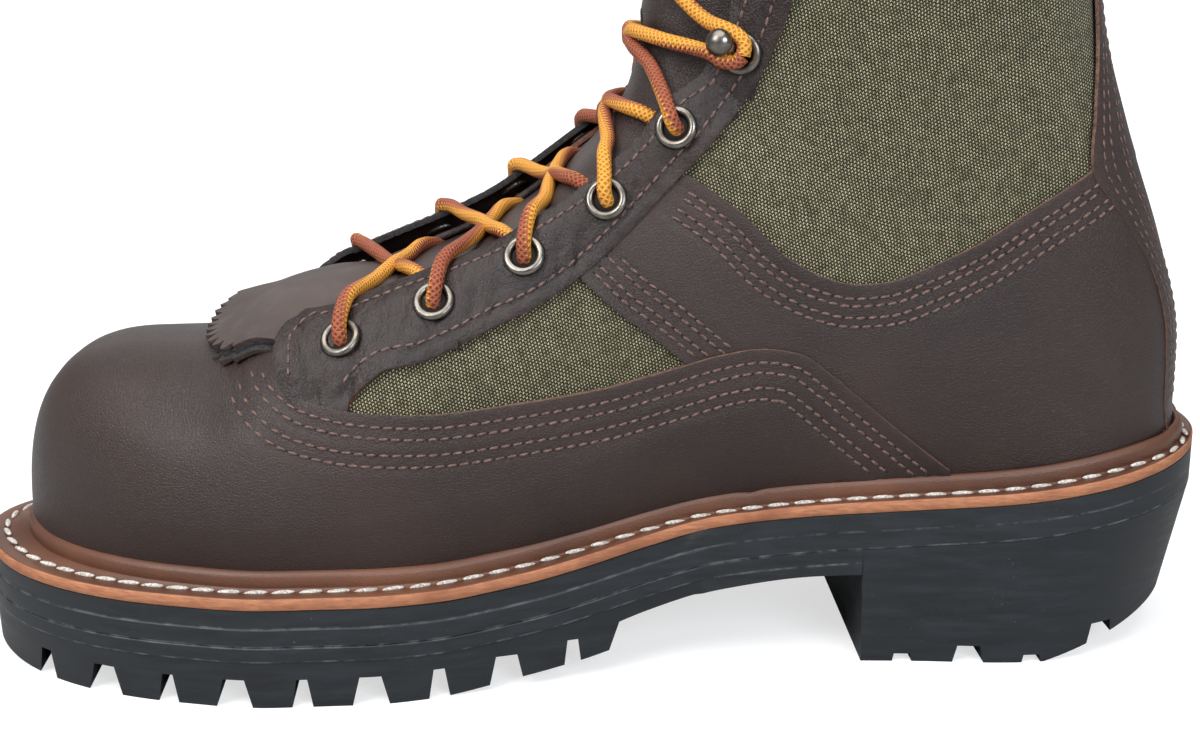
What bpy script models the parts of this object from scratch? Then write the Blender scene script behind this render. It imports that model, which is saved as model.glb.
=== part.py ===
"""Lace-up logger boot for the right foot, as the separate pieces its maker puts together.

Frame: +Z up, floor at z = 0, toe toward -X, inner (big toe) side toward -Y.
Sizes below are in millimetres and become metres when a mesh is made.
"""
import math
from collections import namedtuple

import bmesh
import bpy
import numpy as np
from mathutils import Matrix, Vector

MM = 0.001
FIT_GAP = 0.3

# Driving sizes of the boot
TOE_TIP_X = -143.0
HEEL_END_X = 146.6
TOE_ROUND = 56.0
TOE_ROUND_POWER = 1.85
TOE_RISE = 32.0
TOE_RISE_POWER = 2.7
HEEL_ROUND = 38.0
HEEL_ROUND_POWER = 2.2
WALL = 2.2
LEATHER = 1.5

# Sole stack
WELT_THICK = 3.0
RIB_HIGH = 3.3
RIB_WIDE = 1.9
WELT_CLEAR = 0.5
NEAR_WALL = 12.0
MIDSOLE_THICK = 9.0
UPPER_LIFT = 1.4
INSOLE_THICK = 3.0
INSOLE_CLEAR = 2.2
LUG_END_X = 1.0
OUTSOLE_RIDGE = 3.6
BREAST_X = 62.2
HEEL_FOOT_FRONT_X = 63.0
HEEL_FOOT_BACK_X = 143.5
HEEL_FOOT_WIDTH = 0.95
HEEL_TAPER_X = 90.0
HEEL_TAPER = 0.2
HEEL_BEVEL_X = 110.0
HEEL_BEVEL_SLOPE = 0.25

# Notches across the underside of the heel: place, widths at foot and roof, height
Notch = namedtuple("Notch", "x widths high")
HEEL_NOTCHES = [
    Notch(72.5, (5.5, 4.0), 2.0),
    Notch(88.5, (8.5, 5.5), 4.4),
    Notch(104.0, (5.5, 4.0), 2.0),
    Notch(122.0, (8.5, 5.5), 4.4),
]

# How far the cutting tools reach past the boot
TOOL_REACH = 80.0
UNDER_FLOOR_Z = -2.0
PAST_TOE_X = -165.0
PAST_HEEL_X = 165.0

# Lug gaps along the edge of the forefoot
GAP_FIRST_X = -134.5
GAP_PITCH = 15.75
GAP_COUNT = 9
GAP_NARROW = (5.5, 2.5)
GAP_WIDE = (9.5, 5.0)
GAP_INNER_Y = 19.0
CHANNEL_Y = 13.0
CHANNEL_WIDE = 5.0

# Throat and lacing
THROAT_HALF = 21.0
COLLAR_HALF = 22.5
TONGUE_THICK = 2.4
TONGUE_TUCK = 7.0
TONGUE_CLEAR = 1.2
TONGUE_FLAT = 2.5
TONGUE_ABOVE_COLLAR = 8.0
TONGUE_SWELL = [(3.0, 0.0), (4.0, 1.5), (6.0, 2.0), (8.0, 3.0), (10.0, 7.5), (11.5, 9.5), (15.0, 9.5)]
KILTIE_THICK = 3.0
LACE_ROWS = 10
EYELET_ROWS = 5
LACE_FIRST = 12.0
LACE_PITCH = 23.0
LACE_RADIUS = 1.5
EYELET_INSET = 9.5
FIRST_EYELET_INSET = 14.0
EYELET_RADIUS = 5.0
EYELET_HOLE = 2.7
EYELET_HIGH = 1.3
EYELET_SIDES = 7
HOOK_REACH = 4.6

# Rings through which a hook is lofted: radius, height, share of its reach
HookRing = namedtuple("HookRing", "radius up lean")
HOOK_RINGS = [
    HookRing(4.8, 0.0, 0.0),
    HookRing(4.8, 0.9, 0.0),
    HookRing(2.0, 1.3, 0.3),
    HookRing(1.8, 3.6, 0.7),
    HookRing(3.3, 4.2, 1.0),
    HookRing(2.2, 6.0, 1.0),
]

# Edges of the leather panels in the side view, as (x, z)
VAMP_EDGE = [
    (-76.0, 110.0), (-76.0, 76.0), (-73.0, 72.8), (-69.0, 70.8), (-57.0, 68.6), (-41.0, 67.7), (-20.0, 69.3),
    (-2.0, 71.3), (15.0, 75.4), (26.0, 78.4), (36.0, 79.8), (45.0, 78.4), (52.0, 73.7), (61.0, 66.0),
    (80.6, 49.7), (82.6, 48.2),
]
QUARTER_FRONT = [(18.0, 76.7), (8.5, 84.5), (3.0, 88.4), (-6.1, 97.0)]
QUARTER_TOP = [
    (18.4, 120.2), (30.8, 111.5), (40.8, 101.7), (51.0, 96.2), (57.7, 94.8), (64.7, 95.2), (71.5, 97.3),
    (85.2, 103.3), (98.0, 111.6), (111.5, 119.7), (165.0, 150.0),
]
EYESTAY_LOW = [
    (-60.0, 69.8), (-55.2, 75.1), (-51.1, 77.8), (-42.6, 79.6), (-34.2, 82.9), (-25.6, 86.9), (-17.1, 90.6),
    (-6.1, 97.3), (17.6, 120.3), (27.1, 130.8), (32.0, 137.0), (36.0, 144.0), (39.5, 152.0), (42.5, 162.0),
    (48.0, 185.0), (52.0, 210.0), (54.0, 235.0), (55.0, 262.0),
]
EYESTAY_FRONT = [
    (10.0, 262.0), (-60.0, 150.0), (-75.5, 110.0), (-75.5, 76.6), (-72.7, 73.5), (-68.8, 71.5),
]
EYESTAY_INNER_Y = {-1: -20.0, 1: 13.0}

# Back view of the backstay: half width at each height, and where its tool starts
BACKSTAY_FRONT_X = 85.0
Backstay = namedtuple("Backstay", "z half")
BACKSTAY = [
    Backstay(57.5, 24.0),
    Backstay(75.0, 25.0),
    Backstay(92.0, 27.0),
    Backstay(107.0, 31.0),
    Backstay(120.0, 34.0),
    Backstay(135.0, 30.0),
    Backstay(158.0, 22.0),
    Backstay(200.0, 18.0),
    Backstay(262.0, 16.0),
]

# Rows of the fringed flap, toe end first: section row, half width, lift over the last
Flap = namedtuple("Flap", "row half lift")
KILTIE = [
    Flap(1.95, 12.0, 6.2),
    Flap(2.10, 20.0, 6.4),
    Flap(2.35, 25.0, 6.4),
    Flap(2.70, 26.5, 6.0),
    Flap(2.99, 26.0, 5.6),
    Flap(3.06, 14.0, 5.4),
    Flap(3.40, 13.0, 4.6),
]

# One row a section, toe to collar: base and top are points of the side view, foot is the
# half width where the wall meets the sole, wide the largest half width, on the inner and the
# outer side. widest is the share of the height where that is. base_z None stands on the welt.
Section = namedtuple(
    "Section",
    "name base_x base_z top_x top_z in_foot out_foot in_wide out_wide widest crown base_power lean margin",
)
SECTIONS = [
    Section("tip", TOE_TIP_X, None, -143.0, 77.0, 39.0, 34.0, 42.0, 37.0, 0.36, 2.7, 1.4, -1.5, 11.0),
    Section("cap", -125.0, None, -124.0, 77.2, 40.5, 36.5, 43.5, 39.5, 0.33, 2.6, 1.4, -1.5, 10.3),
    Section("flex", -97.0, None, -96.0, 77.2, 42.5, 42.0, 46.0, 45.5, 0.30, 2.3, 1.4, -2.0, 9.5),
    Section("throat", -78.0, None, -77.0, 87.2, 45.4, 46.0, 49.0, 49.5, 0.27, 2.2, 1.4, -3.0, 9.2),
    Section("ball", -58.0, None, -57.0, 96.5, 45.2, 49.0, 49.0, 52.0, 0.25, 2.3, 1.4, -4.0, 9.0),
    Section("instep", -20.0, None, -24.5, 111.8, 36.7, 46.5, 43.5, 49.0, 0.26, 2.4, 1.4, -4.0, 9.0),
    Section("waist", 25.0, None, -7.5, 127.5, 27.2, 38.5, 37.5, 42.5, 0.28, 2.5, 1.4, -3.0, 8.0),
    Section("seat", 70.0, None, 1.0, 137.0, 30.0, 33.5, 36.5, 38.5, 0.33, 2.7, 1.4, -2.0, 7.0),
    Section("heel", 110.0, None, 6.8, 143.2, 33.8, 33.8, 37.5, 38.0, 0.36, 2.9, 1.6, -1.0, 6.4),
    Section("heel end", HEEL_END_X, None, 11.6, 150.5, 33.0, 33.0, 36.5, 36.5, 0.28, 3.0, 2.1, 0.0, 4.0),
    Section("counter", 146.4, 72.0, 14.3, 155.0, 0.0, 0.0, 36.5, 36.5, 0.28, 3.0, 2.1, 0.0, 0.0),
    Section("achilles", 139.6, 100.5, 19.0, 164.0, 0.0, 0.0, 36.0, 36.0, 0.31, 3.0, 2.1, 0.0, 0.0),
    Section("ankle", 129.2, 127.5, 25.2, 177.0, 0.0, 0.0, 36.5, 37.0, 0.37, 2.9, 2.1, 0.0, 0.0),
    Section("shaft", 120.8, 157.0, 31.0, 196.0, 0.0, 0.0, 39.0, 39.5, 0.43, 2.8, 2.1, 0.0, 0.0),
    Section("calf", 117.0, 200.0, 37.0, 224.0, 0.0, 0.0, 42.0, 42.0, 0.48, 2.5, 2.2, 0.0, 0.0),
    Section("collar", 119.5, 246.0, 39.3, 254.0, 0.0, 0.0, 43.0, 43.0, 0.50, 2.5, 2.2, 0.0, 0.0),
]
ROW = {section.name: float(index) for index, section in enumerate(SECTIONS)}
SHEET_ROWS = [
    0.0, 0.03, 0.11, 0.25, 0.45, 0.7, 1.0, 1.5, 2.0, 2.5, 3.0, 3.2, 3.6, 4.0, 4.5, 5.0, 5.5, 6.0, 6.5,
    7.0, 7.5, 8.0, 8.35, 8.65, 8.88, 9.0, 9.5, 10.0, 11.0, 12.0, 13.0, 14.0, 15.0,
]
SHEET_COLUMNS = 8
TOE_BAND = 32.0
HEEL_BAND = 26.0
TOE_STATIONS = 8
HEEL_STATIONS = 7
MIDDLE_STATIONS = 17

# Side view of the sole: welt top, and the rubber's underside between and on the lugs
Sole = namedtuple("Sole", "x welt_top plate tread")
SOLE = [
    Sole(-154.0, 28.6, 8.0, 1.8),
    Sole(-140.0, 27.4, 7.2, 0.4),
    Sole(-122.0, 27.3, 7.0, 0.0),
    Sole(-75.0, 27.3, 7.0, 0.0),
    Sole(-41.0, 27.2, 7.4, 0.0),
    Sole(-24.0, 28.6, 8.6, 1.2),
    Sole(-7.0, 31.4, 10.8, 3.4),
    Sole(10.0, 35.0, 15.4, 7.0),
    Sole(28.0, 38.7, 19.7, 9.0),
    Sole(51.0, 41.1, 22.8, 9.0),
    Sole(73.0, 42.5, 23.5, 9.0),
    Sole(96.0, 44.3, 24.0, 9.0),
    Sole(119.0, 47.4, 25.0, 9.0),
    Sole(135.0, 50.0, 26.0, 9.0),
    Sole(154.0, 53.0, 27.0, 9.0),
]


def clear_scene():
    for thing in list(bpy.data.objects):
        bpy.data.objects.remove(thing, do_unlink=True)


def smooth_curve(knots, values, x):
    """Smooth curve through values at rising knots that never overshoots, flat past both ends."""
    knots = np.asarray(knots, float)
    values = np.asarray(values, float)
    secants = np.diff(values) / np.diff(knots)
    before = np.concatenate([secants[:1], secants])
    after = np.concatenate([secants, secants[-1:]])
    product = before * after
    total = np.where(product > 0.0, before + after, 1.0)
    slopes = np.where(product > 0.0, 2.0 * product / total, 0.0)
    x = np.clip(x, knots[0], knots[-1])
    low = np.clip(np.searchsorted(knots, x) - 1, 0, len(knots) - 2)
    span = knots[low + 1] - knots[low]
    t = (x - knots[low]) / span
    start = (2 * t**3 - 3 * t**2 + 1) * values[low] + (t**3 - 2 * t**2 + t) * span * slopes[low]
    finish = (3 * t**2 - 2 * t**3) * values[low + 1] + (t**3 - t**2) * span * slopes[low + 1]
    return start + finish


def sole_line(column, x):
    return smooth_curve([row.x for row in SOLE], [getattr(row, column) for row in SOLE], x)


def welt_top(x):
    return sole_line("welt_top", x)


def column(name, u):
    values = [getattr(section, name) for section in SECTIONS]
    return smooth_curve(np.arange(len(SECTIONS)), values, u)


def superellipse(share, power):
    """Quarter round that rises from 0 at share 0 to 1 at share 1."""
    share = np.clip(share, 0.0, 1.0)
    return (1.0 - (1.0 - share) ** power) ** (1.0 / power)


def base_point(u):
    """Side view of the line along which the upper meets the sole, then the back of the shaft."""
    x = float(column("base_x", u))
    heel = ROW["heel end"]
    if u <= heel:
        return x, float(welt_top(x)) - WELT_THICK + UPPER_LIFT
    start_z = float(welt_top(HEEL_END_X)) - WELT_THICK + UPPER_LIFT
    rows = np.arange(int(heel), len(SECTIONS))
    heights = [start_z] + [section.base_z for section in SECTIONS[int(heel) + 1:]]
    return x, float(smooth_curve(rows, heights, u))


def toe_round(u):
    return float(superellipse((column("base_x", u) - TOE_TIP_X) / TOE_ROUND, TOE_ROUND_POWER))


def heel_round(u):
    if u >= ROW["heel end"]:
        return 0.0
    return float(superellipse((HEEL_END_X - column("base_x", u)) / HEEL_ROUND, HEEL_ROUND_POWER))


def foot_half(u, side):
    """Half width at the sole: side -1 is the inner side, +1 the outer side."""
    name = "in_foot" if side < 0 else "out_foot"
    return float(column(name, u)) * toe_round(u) * heel_round(u)


def throat_half(u):
    """Half width of the opening in front: none on the vamp, then wider up to the collar."""
    start = ROW["throat"]
    if u <= start:
        return 0.0
    opening = THROAT_HALF + (COLLAR_HALF - THROAT_HALF) * (u - start) / (ROW["collar"] - start)
    return opening * float(superellipse((u - start) / 0.6, 2.0))


def section_curve(u, side):
    """Points of one half section from the base to the crest, with their half widths."""
    base_x, base_z = base_point(u)
    top_x = float(column("top_x", u))
    top_z = float(column("top_z", u))
    rise = float(superellipse((column("base_x", u) - TOE_TIP_X) / TOE_RISE, TOE_RISE_POWER))
    top_z = base_z + (top_z - base_z) * rise
    top_x = base_x + (top_x - base_x) * rise
    foot = foot_half(u, side)
    wide = float(column("in_wide" if side < 0 else "out_wide", u)) * toe_round(u)
    widest = float(column("widest", u))
    share = 0.5 - 0.5 * np.cos(np.linspace(0.0, math.pi, 61))
    lower = foot + (wide - foot) * superellipse(share / widest, float(column("base_power", u)))
    upper = wide * superellipse((1.0 - share) / (1.0 - widest), float(column("crown", u)))
    half = np.where(share < widest, lower, upper)
    points = np.stack(
        [
            base_x + (top_x - base_x) * share,
            side * half + float(column("lean", u)) * toe_round(u) * share**2,
            base_z + (top_z - base_z) * share,
        ],
        axis=1,
    )
    return points, half, share, share > widest


def arc_lengths(points):
    steps = np.linalg.norm(np.diff(points, axis=0), axis=1)
    return np.concatenate([[0.0], np.cumsum(steps)])


def along(points, lengths, at):
    return np.stack([np.interp(at, lengths, points[:, k]) for k in range(3)], axis=-1)


def edge_length(u, side, half_width):
    """Arc length from the base at which the crown has come in to a half width."""
    points, half, _, crown = section_curve(u, side)
    lengths = arc_lengths(points)
    return points, lengths, float(np.interp(-half_width, -half[crown], lengths[crown]))


def last_point(u, t, side):
    """Outer face of the upper: t runs from 0 at the base to 1 at the throat edge or the crest."""
    points, half, share, crown = section_curve(u, side)
    finish = float(np.interp(-throat_half(u), -half[crown], share[crown]))
    return along(points, share, finish * (0.5 - 0.5 * math.cos(math.pi * t)))


def crown_point(u, offset_y):
    """Point over the throat at a distance from the crest, positive toward the outer side."""
    side = 1 if offset_y >= 0 else -1
    points, lengths, at = edge_length(u, side, abs(offset_y))
    return along(points, lengths, at)


def crown_normal(u, offset_y):
    ahead = crown_point(u + 0.05, offset_y) - crown_point(u - 0.05, offset_y)
    across = crown_point(u, offset_y + 1.0) - crown_point(u, offset_y - 1.0)
    normal = np.cross(ahead, across)
    return normal / np.linalg.norm(normal)


def lifted_crown(u, offset_y, lift):
    return crown_point(u, offset_y) + crown_normal(u, offset_y) * lift


def row_at_base_x(x):
    """Row of the foot whose base is at x."""
    rows = np.linspace(0.0, ROW["heel end"], 3000)
    return np.interp(x, column("base_x", rows), rows)


def foot_stations(first_x=TOE_TIP_X, last_x=HEEL_END_X):
    """Rows of the foot between two places, close together round the toe and the heel end."""
    toe = TOE_TIP_X + TOE_BAND * np.linspace(0.0, 1.0, TOE_STATIONS) ** 2
    heel = HEEL_END_X - HEEL_BAND * np.linspace(1.0, 0.0, HEEL_STATIONS) ** 2
    middle = np.linspace(toe[-1], heel[0], MIDDLE_STATIONS)[1:-1]
    places = np.concatenate([toe, middle, heel])
    inside = places[(places > first_x + 0.3) & (places < last_x - 0.3)]
    return row_at_base_x(np.concatenate([[first_x], inside, [last_x]]))


def plan_normal(u, side):
    """Outward direction of the sole's edge in plan."""
    step = 0.004
    before = max(u - step, 0.0)
    after = min(u + step, ROW["heel end"])
    dx = column("base_x", after) - column("base_x", before)
    dy = side * (foot_half(after, side) - foot_half(before, side))
    normal = np.array([-dy, dx]) * side
    return normal / np.linalg.norm(normal)


def edge_point(u, side, extra):
    """Sole outline: the upper's base moved outward by a distance."""
    x = float(column("base_x", u))
    if u <= 0.0:
        return np.array([x - extra, 0.0])
    if u >= ROW["heel end"]:
        return np.array([x + extra, 0.0])
    return np.array([x, side * foot_half(u, side)]) + plan_normal(u, side) * extra


def outline_point(u, side, extra):
    return edge_point(u, side, float(column("margin", u)) + extra)


def outline_centre():
    """Middle of the sole's outline, which becomes the origin in plan."""
    stations = np.linspace(0.0, ROW["heel end"], 400)
    edge = np.array([outline_point(u, side, 0.0) for u in stations for side in (-1, 1)])
    return (edge.min(axis=0) + edge.max(axis=0)) / 2.0


CENTRE_X, CENTRE_Y = outline_centre()


def place(point):
    return Vector(((point[0] - CENTRE_X) * MM, (point[1] - CENTRE_Y) * MM, point[2] * MM))


def material(name, colour, roughness, metallic=0.0):
    made = bpy.data.materials.get(name)
    if made is None:
        made = bpy.data.materials.new(name)
        made.use_nodes = True
        shader = made.node_tree.nodes["Principled BSDF"]
        shader.inputs["Base Color"].default_value = (*colour, 1.0)
        shader.inputs["Roughness"].default_value = roughness
        shader.inputs["Metallic"].default_value = metallic
    return made


def brown_leather():
    return material("brown_leather", (0.052, 0.032, 0.029), 0.42)


def green_nylon():
    return material("green_nylon", (0.115, 0.107, 0.048), 0.85)


def welt_leather():
    return material("welt_leather", (0.21, 0.085, 0.042), 0.5)


def black_rubber():
    return material("black_rubber", (0.026, 0.033, 0.040), 0.6)


def lining_leather():
    return material("lining_leather", (0.30, 0.19, 0.11), 0.7)


def lace_braid():
    return material("lace_braid", (0.62, 0.25, 0.05), 0.7)


def nickel():
    return material("nickel", (0.42, 0.38, 0.34), 0.32, 1.0)


def finish_object(name, bm, skin):
    """Make an object of a bmesh, with its faces out and its round forms shaded smooth."""
    bmesh.ops.recalc_face_normals(bm, faces=bm.faces)
    mesh = bpy.data.meshes.new(name)
    bm.to_mesh(mesh)
    bm.free()
    mesh.shade_smooth()
    mesh.set_sharp_from_angle(angle=math.radians(38.0))
    made = bpy.data.objects.new(name, mesh)
    bpy.context.collection.objects.link(made)
    if skin is not None:
        mesh.materials.append(skin)
    return made


def hide_tool(thing):
    """Mark an object as a cutter: it shapes others and is no piece itself."""
    thing.hide_render = True
    thing.display_type = "WIRE"
    return thing


def cut(target, tool, operation="DIFFERENCE"):
    boolean = target.modifiers.new(tool.name, "BOOLEAN")
    boolean.operation = operation
    boolean.solver = "EXACT"
    boolean.object = tool


def solidify(target, thickness, offset):
    wall = target.modifiers.new("wall", "SOLIDIFY")
    wall.thickness = thickness * MM
    wall.offset = offset


def mapped_grid(bm, rows, columns, mapping):
    """Grid whose vertex at row i and column j goes to mapping(i, j)."""
    made = bmesh.ops.create_grid(bm, x_segments=rows, y_segments=columns, size=1.0)
    for vertex in made["verts"]:
        i = round((vertex.co.x + 1.0) / 2.0 * rows)
        j = round((vertex.co.y + 1.0) / 2.0 * columns)
        vertex.co = place(mapping(i, j))
    return made["verts"]


def last_sheet(bm, rows):
    """Both sides of the upper's outer face, joined where they meet at toe, crest and back."""
    for side in (-1, 1):
        mapped_grid(
            bm,
            len(rows) - 1,
            SHEET_COLUMNS,
            lambda i, j: last_point(rows[i], j / SHEET_COLUMNS, side),
        )
    bmesh.ops.remove_doubles(bm, verts=bm.verts, dist=0.01 * MM)
    bmesh.ops.dissolve_degenerate(bm, dist=0.005 * MM, edges=bm.edges)
    bmesh.ops.recalc_face_normals(bm, faces=bm.faces)
    bmesh.ops.triangulate(bm, faces=bm.faces, quad_method="SHORT_EDGE")


def ladder_solid(bm, levels):
    """Closed solid through level outlines, each a list of (inner, outer) point pairs."""
    rings = []
    for level in levels:
        pairs = []
        for inner, outer in level:
            first = bm.verts.new(place(inner))
            if np.linalg.norm(np.subtract(inner, outer)) < 0.01:
                pairs.append((first, first))
            else:
                pairs.append((first, bm.verts.new(place(outer))))
        rings.append(pairs)

    def loop(pairs):
        inner = [pair[0] for pair in pairs]
        outer = [pair[1] for pair in reversed(pairs)]
        ring = inner + outer
        return [v for k, v in enumerate(ring) if v is not ring[k - 1]]

    for upper, lower in zip(rings, rings[1:]):
        above = loop(upper)
        below = loop(lower)
        for k in range(len(above)):
            bm.faces.new((above[k - 1], above[k], below[k], below[k - 1]))
    for pairs in (rings[0], rings[-1]):
        for (a, b), (c, d) in zip(pairs, pairs[1:]):
            corners = []
            for v in (a, c, d, b):
                if v not in corners:
                    corners.append(v)
            bm.faces.new(corners)


def sole_level(stations, extra, height):
    """Pairs of outline points; height gives z from x."""
    level = []
    for u in stations:
        pair = []
        for side in (-1, 1):
            x, y = outline_point(u, side, extra)
            pair.append((x, y, height(x)))
        level.append(tuple(pair))
    return level


def midsole_top(x):
    return welt_top(x) - WELT_THICK - FIT_GAP


def midsole_base(x):
    return midsole_top(x) - MIDSOLE_THICK


def outsole_top(x):
    return midsole_base(x) - FIT_GAP


def make_midsole():
    """Rubber midsole, full length, with the low band that stands proud of its upper half."""
    stations = foot_stations()
    half = MIDSOLE_THICK / 2.0
    bm = bmesh.new()
    ladder_solid(
        bm,
        [
            sole_level(stations, -0.5, midsole_top),
            sole_level(stations, -0.5, lambda x: midsole_top(x) - half),
            sole_level(stations, 0.0, lambda x: midsole_top(x) - half - 0.4),
            sole_level(stations, 0.0, midsole_base),
        ],
    )
    return finish_object("midsole", bm, black_rubber())


def gap_prism(bm, x, widths, y_from, y_to, roof):
    """Trapezoid bar across the sole that leaves a lug gap: widths at its foot and at its roof."""
    foot, top = widths
    corners = [(-foot, UNDER_FLOOR_Z), (foot, UNDER_FLOOR_Z), (top, roof), (-top, roof)]
    ring = [bm.verts.new(place((x + width / 2.0, y_from, z))) for width, z in corners]
    face = bm.faces.new(ring)
    grown = bmesh.ops.extrude_face_region(bm, geom=[face])
    moved = [v for v in grown["geom"] if isinstance(v, bmesh.types.BMVert)]
    bmesh.ops.translate(bm, verts=moved, vec=(0.0, (y_to - y_from) * MM, 0.0))


def make_lug_cutters():
    """Edge gaps, two lengthwise channels and the gaps of the middle row of lugs."""
    edge = bmesh.new()
    middle = bmesh.new()
    for index in range(GAP_COUNT):
        x = GAP_FIRST_X + GAP_PITCH * index
        widths = GAP_NARROW if index % 2 == 0 else GAP_WIDE
        roof = float(sole_line("plate", x))
        gap_prism(edge, x, widths, -TOOL_REACH, -GAP_INNER_Y, roof)
        gap_prism(edge, x, widths, GAP_INNER_Y, TOOL_REACH, roof)
        if index > 0:
            gap_prism(middle, x - GAP_PITCH / 2.0, GAP_NARROW, -CHANNEL_Y, CHANNEL_Y, roof)
    channels = bmesh.new()
    start = GAP_FIRST_X + GAP_PITCH
    finish = GAP_FIRST_X + GAP_PITCH * (GAP_COUNT - 1)
    half = CHANNEL_WIDE / 2.0
    roof = float(sole_line("plate", -75.0)) - 0.4
    for side in (-1, 1):
        y = side * (CHANNEL_Y + half)
        length = finish - start
        middle_x = (start + finish) / 2.0
        gap_prism(channels, middle_x, (length, length), y - half, y + half, roof)
    tools = [("edge_gaps", edge), ("middle_gaps", middle), ("channels", channels)]
    return [hide_tool(finish_object(name, bm, None)) for name, bm in tools]


def make_outsole():
    """Lugged forefoot and plain waist in one piece, up to the front of the heel."""
    lugs = foot_stations(last_x=LUG_END_X - 0.2)
    waist = foot_stations(LUG_END_X + 0.2, BREAST_X - FIT_GAP)
    stations = np.concatenate([lugs, waist])

    def underside(x):
        return sole_line("tread" if x < LUG_END_X else "plate", x)

    bm = bmesh.new()
    ladder_solid(
        bm,
        [
            sole_level(stations, -0.4, outsole_top),
            sole_level(stations, 0.3, lambda x: outsole_top(x) - 0.5),
            sole_level(stations, 0.3, lambda x: outsole_top(x) - OUTSOLE_RIDGE),
            sole_level(stations, -0.2, lambda x: outsole_top(x) - OUTSOLE_RIDGE - 0.4),
            sole_level(stations, -0.8, underside),
        ],
    )
    outsole = finish_object("outsole", bm, black_rubber())
    for tool in make_lug_cutters():
        cut(outsole, tool)
    return outsole


def heel_foot_z(x):
    """Underside of the heel: flat, then rising toward the back."""
    return max(0.0, (x - HEEL_BEVEL_X) * HEEL_BEVEL_SLOPE)


def heel_foot_width(x):
    """Share of the sole's width that the heel keeps on the floor, less toward the back."""
    share = max(0.0, (x - HEEL_TAPER_X) / (HEEL_FOOT_BACK_X - HEEL_TAPER_X))
    return HEEL_FOOT_WIDTH * (1.0 - HEEL_TAPER * share**2)


def make_heel():
    """Heel block: undercut behind, narrower and rising at the back, with notches below."""
    stations = foot_stations(first_x=BREAST_X)
    back_x = HEEL_END_X + SECTIONS[int(ROW["heel end"])].margin
    taper = (HEEL_FOOT_BACK_X - HEEL_FOOT_FRONT_X) / (back_x - BREAST_X)

    def lower(share):
        level = []
        for inner, outer in sole_level(stations, -0.3, outsole_top):
            pair = []
            for x, y, z in (inner, outer):
                foot_x = HEEL_FOOT_FRONT_X + (x - BREAST_X) * taper
                foot = np.array([foot_x, y * heel_foot_width(foot_x), heel_foot_z(foot_x)])
                pair.append(np.array([x, y, z]) * (1.0 - share) + foot * share)
            level.append(tuple(pair))
        return level

    bm = bmesh.new()
    ladder_solid(bm, [lower(0.0), lower(0.3), lower(1.0)])
    heel = finish_object("heel", bm, black_rubber())
    notches = bmesh.new()
    for notch in HEEL_NOTCHES:
        roof = heel_foot_z(notch.x) + notch.high
        gap_prism(notches, notch.x, notch.widths, -TOOL_REACH, TOOL_REACH, roof)
    cut(heel, hide_tool(finish_object("heel_notches", notches, None)))
    return heel


def wall_line(side, up):
    """Plan of the upper's wall on one side at a height above the welt's underside."""
    line = []
    for u in np.linspace(0.0, ROW["counter"], 500):
        points, _, _, _ = section_curve(u, side)
        over = points[:, 2] - (welt_top(points[:, 0]) - WELT_THICK + up)
        first = int(np.argmax(over >= 0.0))
        if over[first] < 0.0 or (first == 0 and u > ROW["heel end"]):
            continue
        share = over[first - 1] / (over[first - 1] - over[first]) if first else 0.0
        line.append(points[first - 1, :2] + share * (points[first, :2] - points[first - 1, :2]))
    return np.array(line)


def wall_reach(u, side, line):
    """How far a wall line stands out from the upper's base, along the sole's outward direction."""
    base = edge_point(u, side, 0.0)
    if u <= 0.0 or u >= ROW["heel end"]:
        return float(abs(line[0 if u <= 0.0 else -1, 0]) - abs(base[0]))
    normal = plan_normal(u, side)
    tangent = np.array([normal[1], -normal[0]])
    near = line[np.linalg.norm(line - base, axis=1) < NEAR_WALL]
    abreast = near[np.argmin(np.abs((near - base) @ tangent))]
    return float((abreast - base) @ normal)


def welt_ring(u, side, foot_line, top_line):
    """Cross-section of the welt at one place: flat strip with a rib that hugs the upper."""
    low = max(wall_reach(u, side, foot_line), 0.0) + WELT_CLEAR
    high = max(wall_reach(u, side, top_line) + WELT_CLEAR, low)
    edge = float(column("margin", u))
    rib = min(high + RIB_WIDE, edge - 1.5)
    profile = [
        (low, 0.0),
        (edge, 0.0),
        (edge, WELT_THICK),
        (rib + 0.5, WELT_THICK),
        (rib, WELT_THICK + RIB_HIGH),
        (high, WELT_THICK + RIB_HIGH),
    ]
    ring = []
    for reach, up in profile:
        x, y = edge_point(u, side, reach)
        ring.append((x, y, welt_top(edge_point(u, side, edge)[0]) - WELT_THICK + up))
    return ring


def make_welt():
    """Leather welt all round the upper, with its raised storm rib."""
    stations = foot_stations()
    path = [(u, -1) for u in stations] + [(u, 1) for u in stations[-2:0:-1]]
    foot_line = {side: wall_line(side, WELT_THICK) for side in (-1, 1)}
    top_line = {side: wall_line(side, WELT_THICK + RIB_HIGH) for side in (-1, 1)}
    bm = bmesh.new()
    rings = []
    for u, side in path:
        ring = welt_ring(u, side, foot_line[side], top_line[side])
        rings.append([bm.verts.new(place(point)) for point in ring])
    count = len(rings[0])
    for k in range(len(rings)):
        for j in range(count):
            bm.faces.new((rings[k - 1][j - 1], rings[k - 1][j], rings[k][j], rings[k][j - 1]))
    return finish_object("welt", bm, welt_leather())


def make_insole():
    stations = foot_stations()
    inset = -(WALL + INSOLE_CLEAR)

    def level(up):
        pairs = []
        for u in stations:
            pair = []
            for side in (-1, 1):
                x, y = edge_point(u, side, inset)
                pair.append((x, y, welt_top(x) - WELT_THICK + up))
            pairs.append(tuple(pair))
        return pairs

    bm = bmesh.new()
    ladder_solid(bm, [level(INSOLE_THICK), level(0.0)])
    return finish_object("insole", bm, lining_leather())


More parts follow.
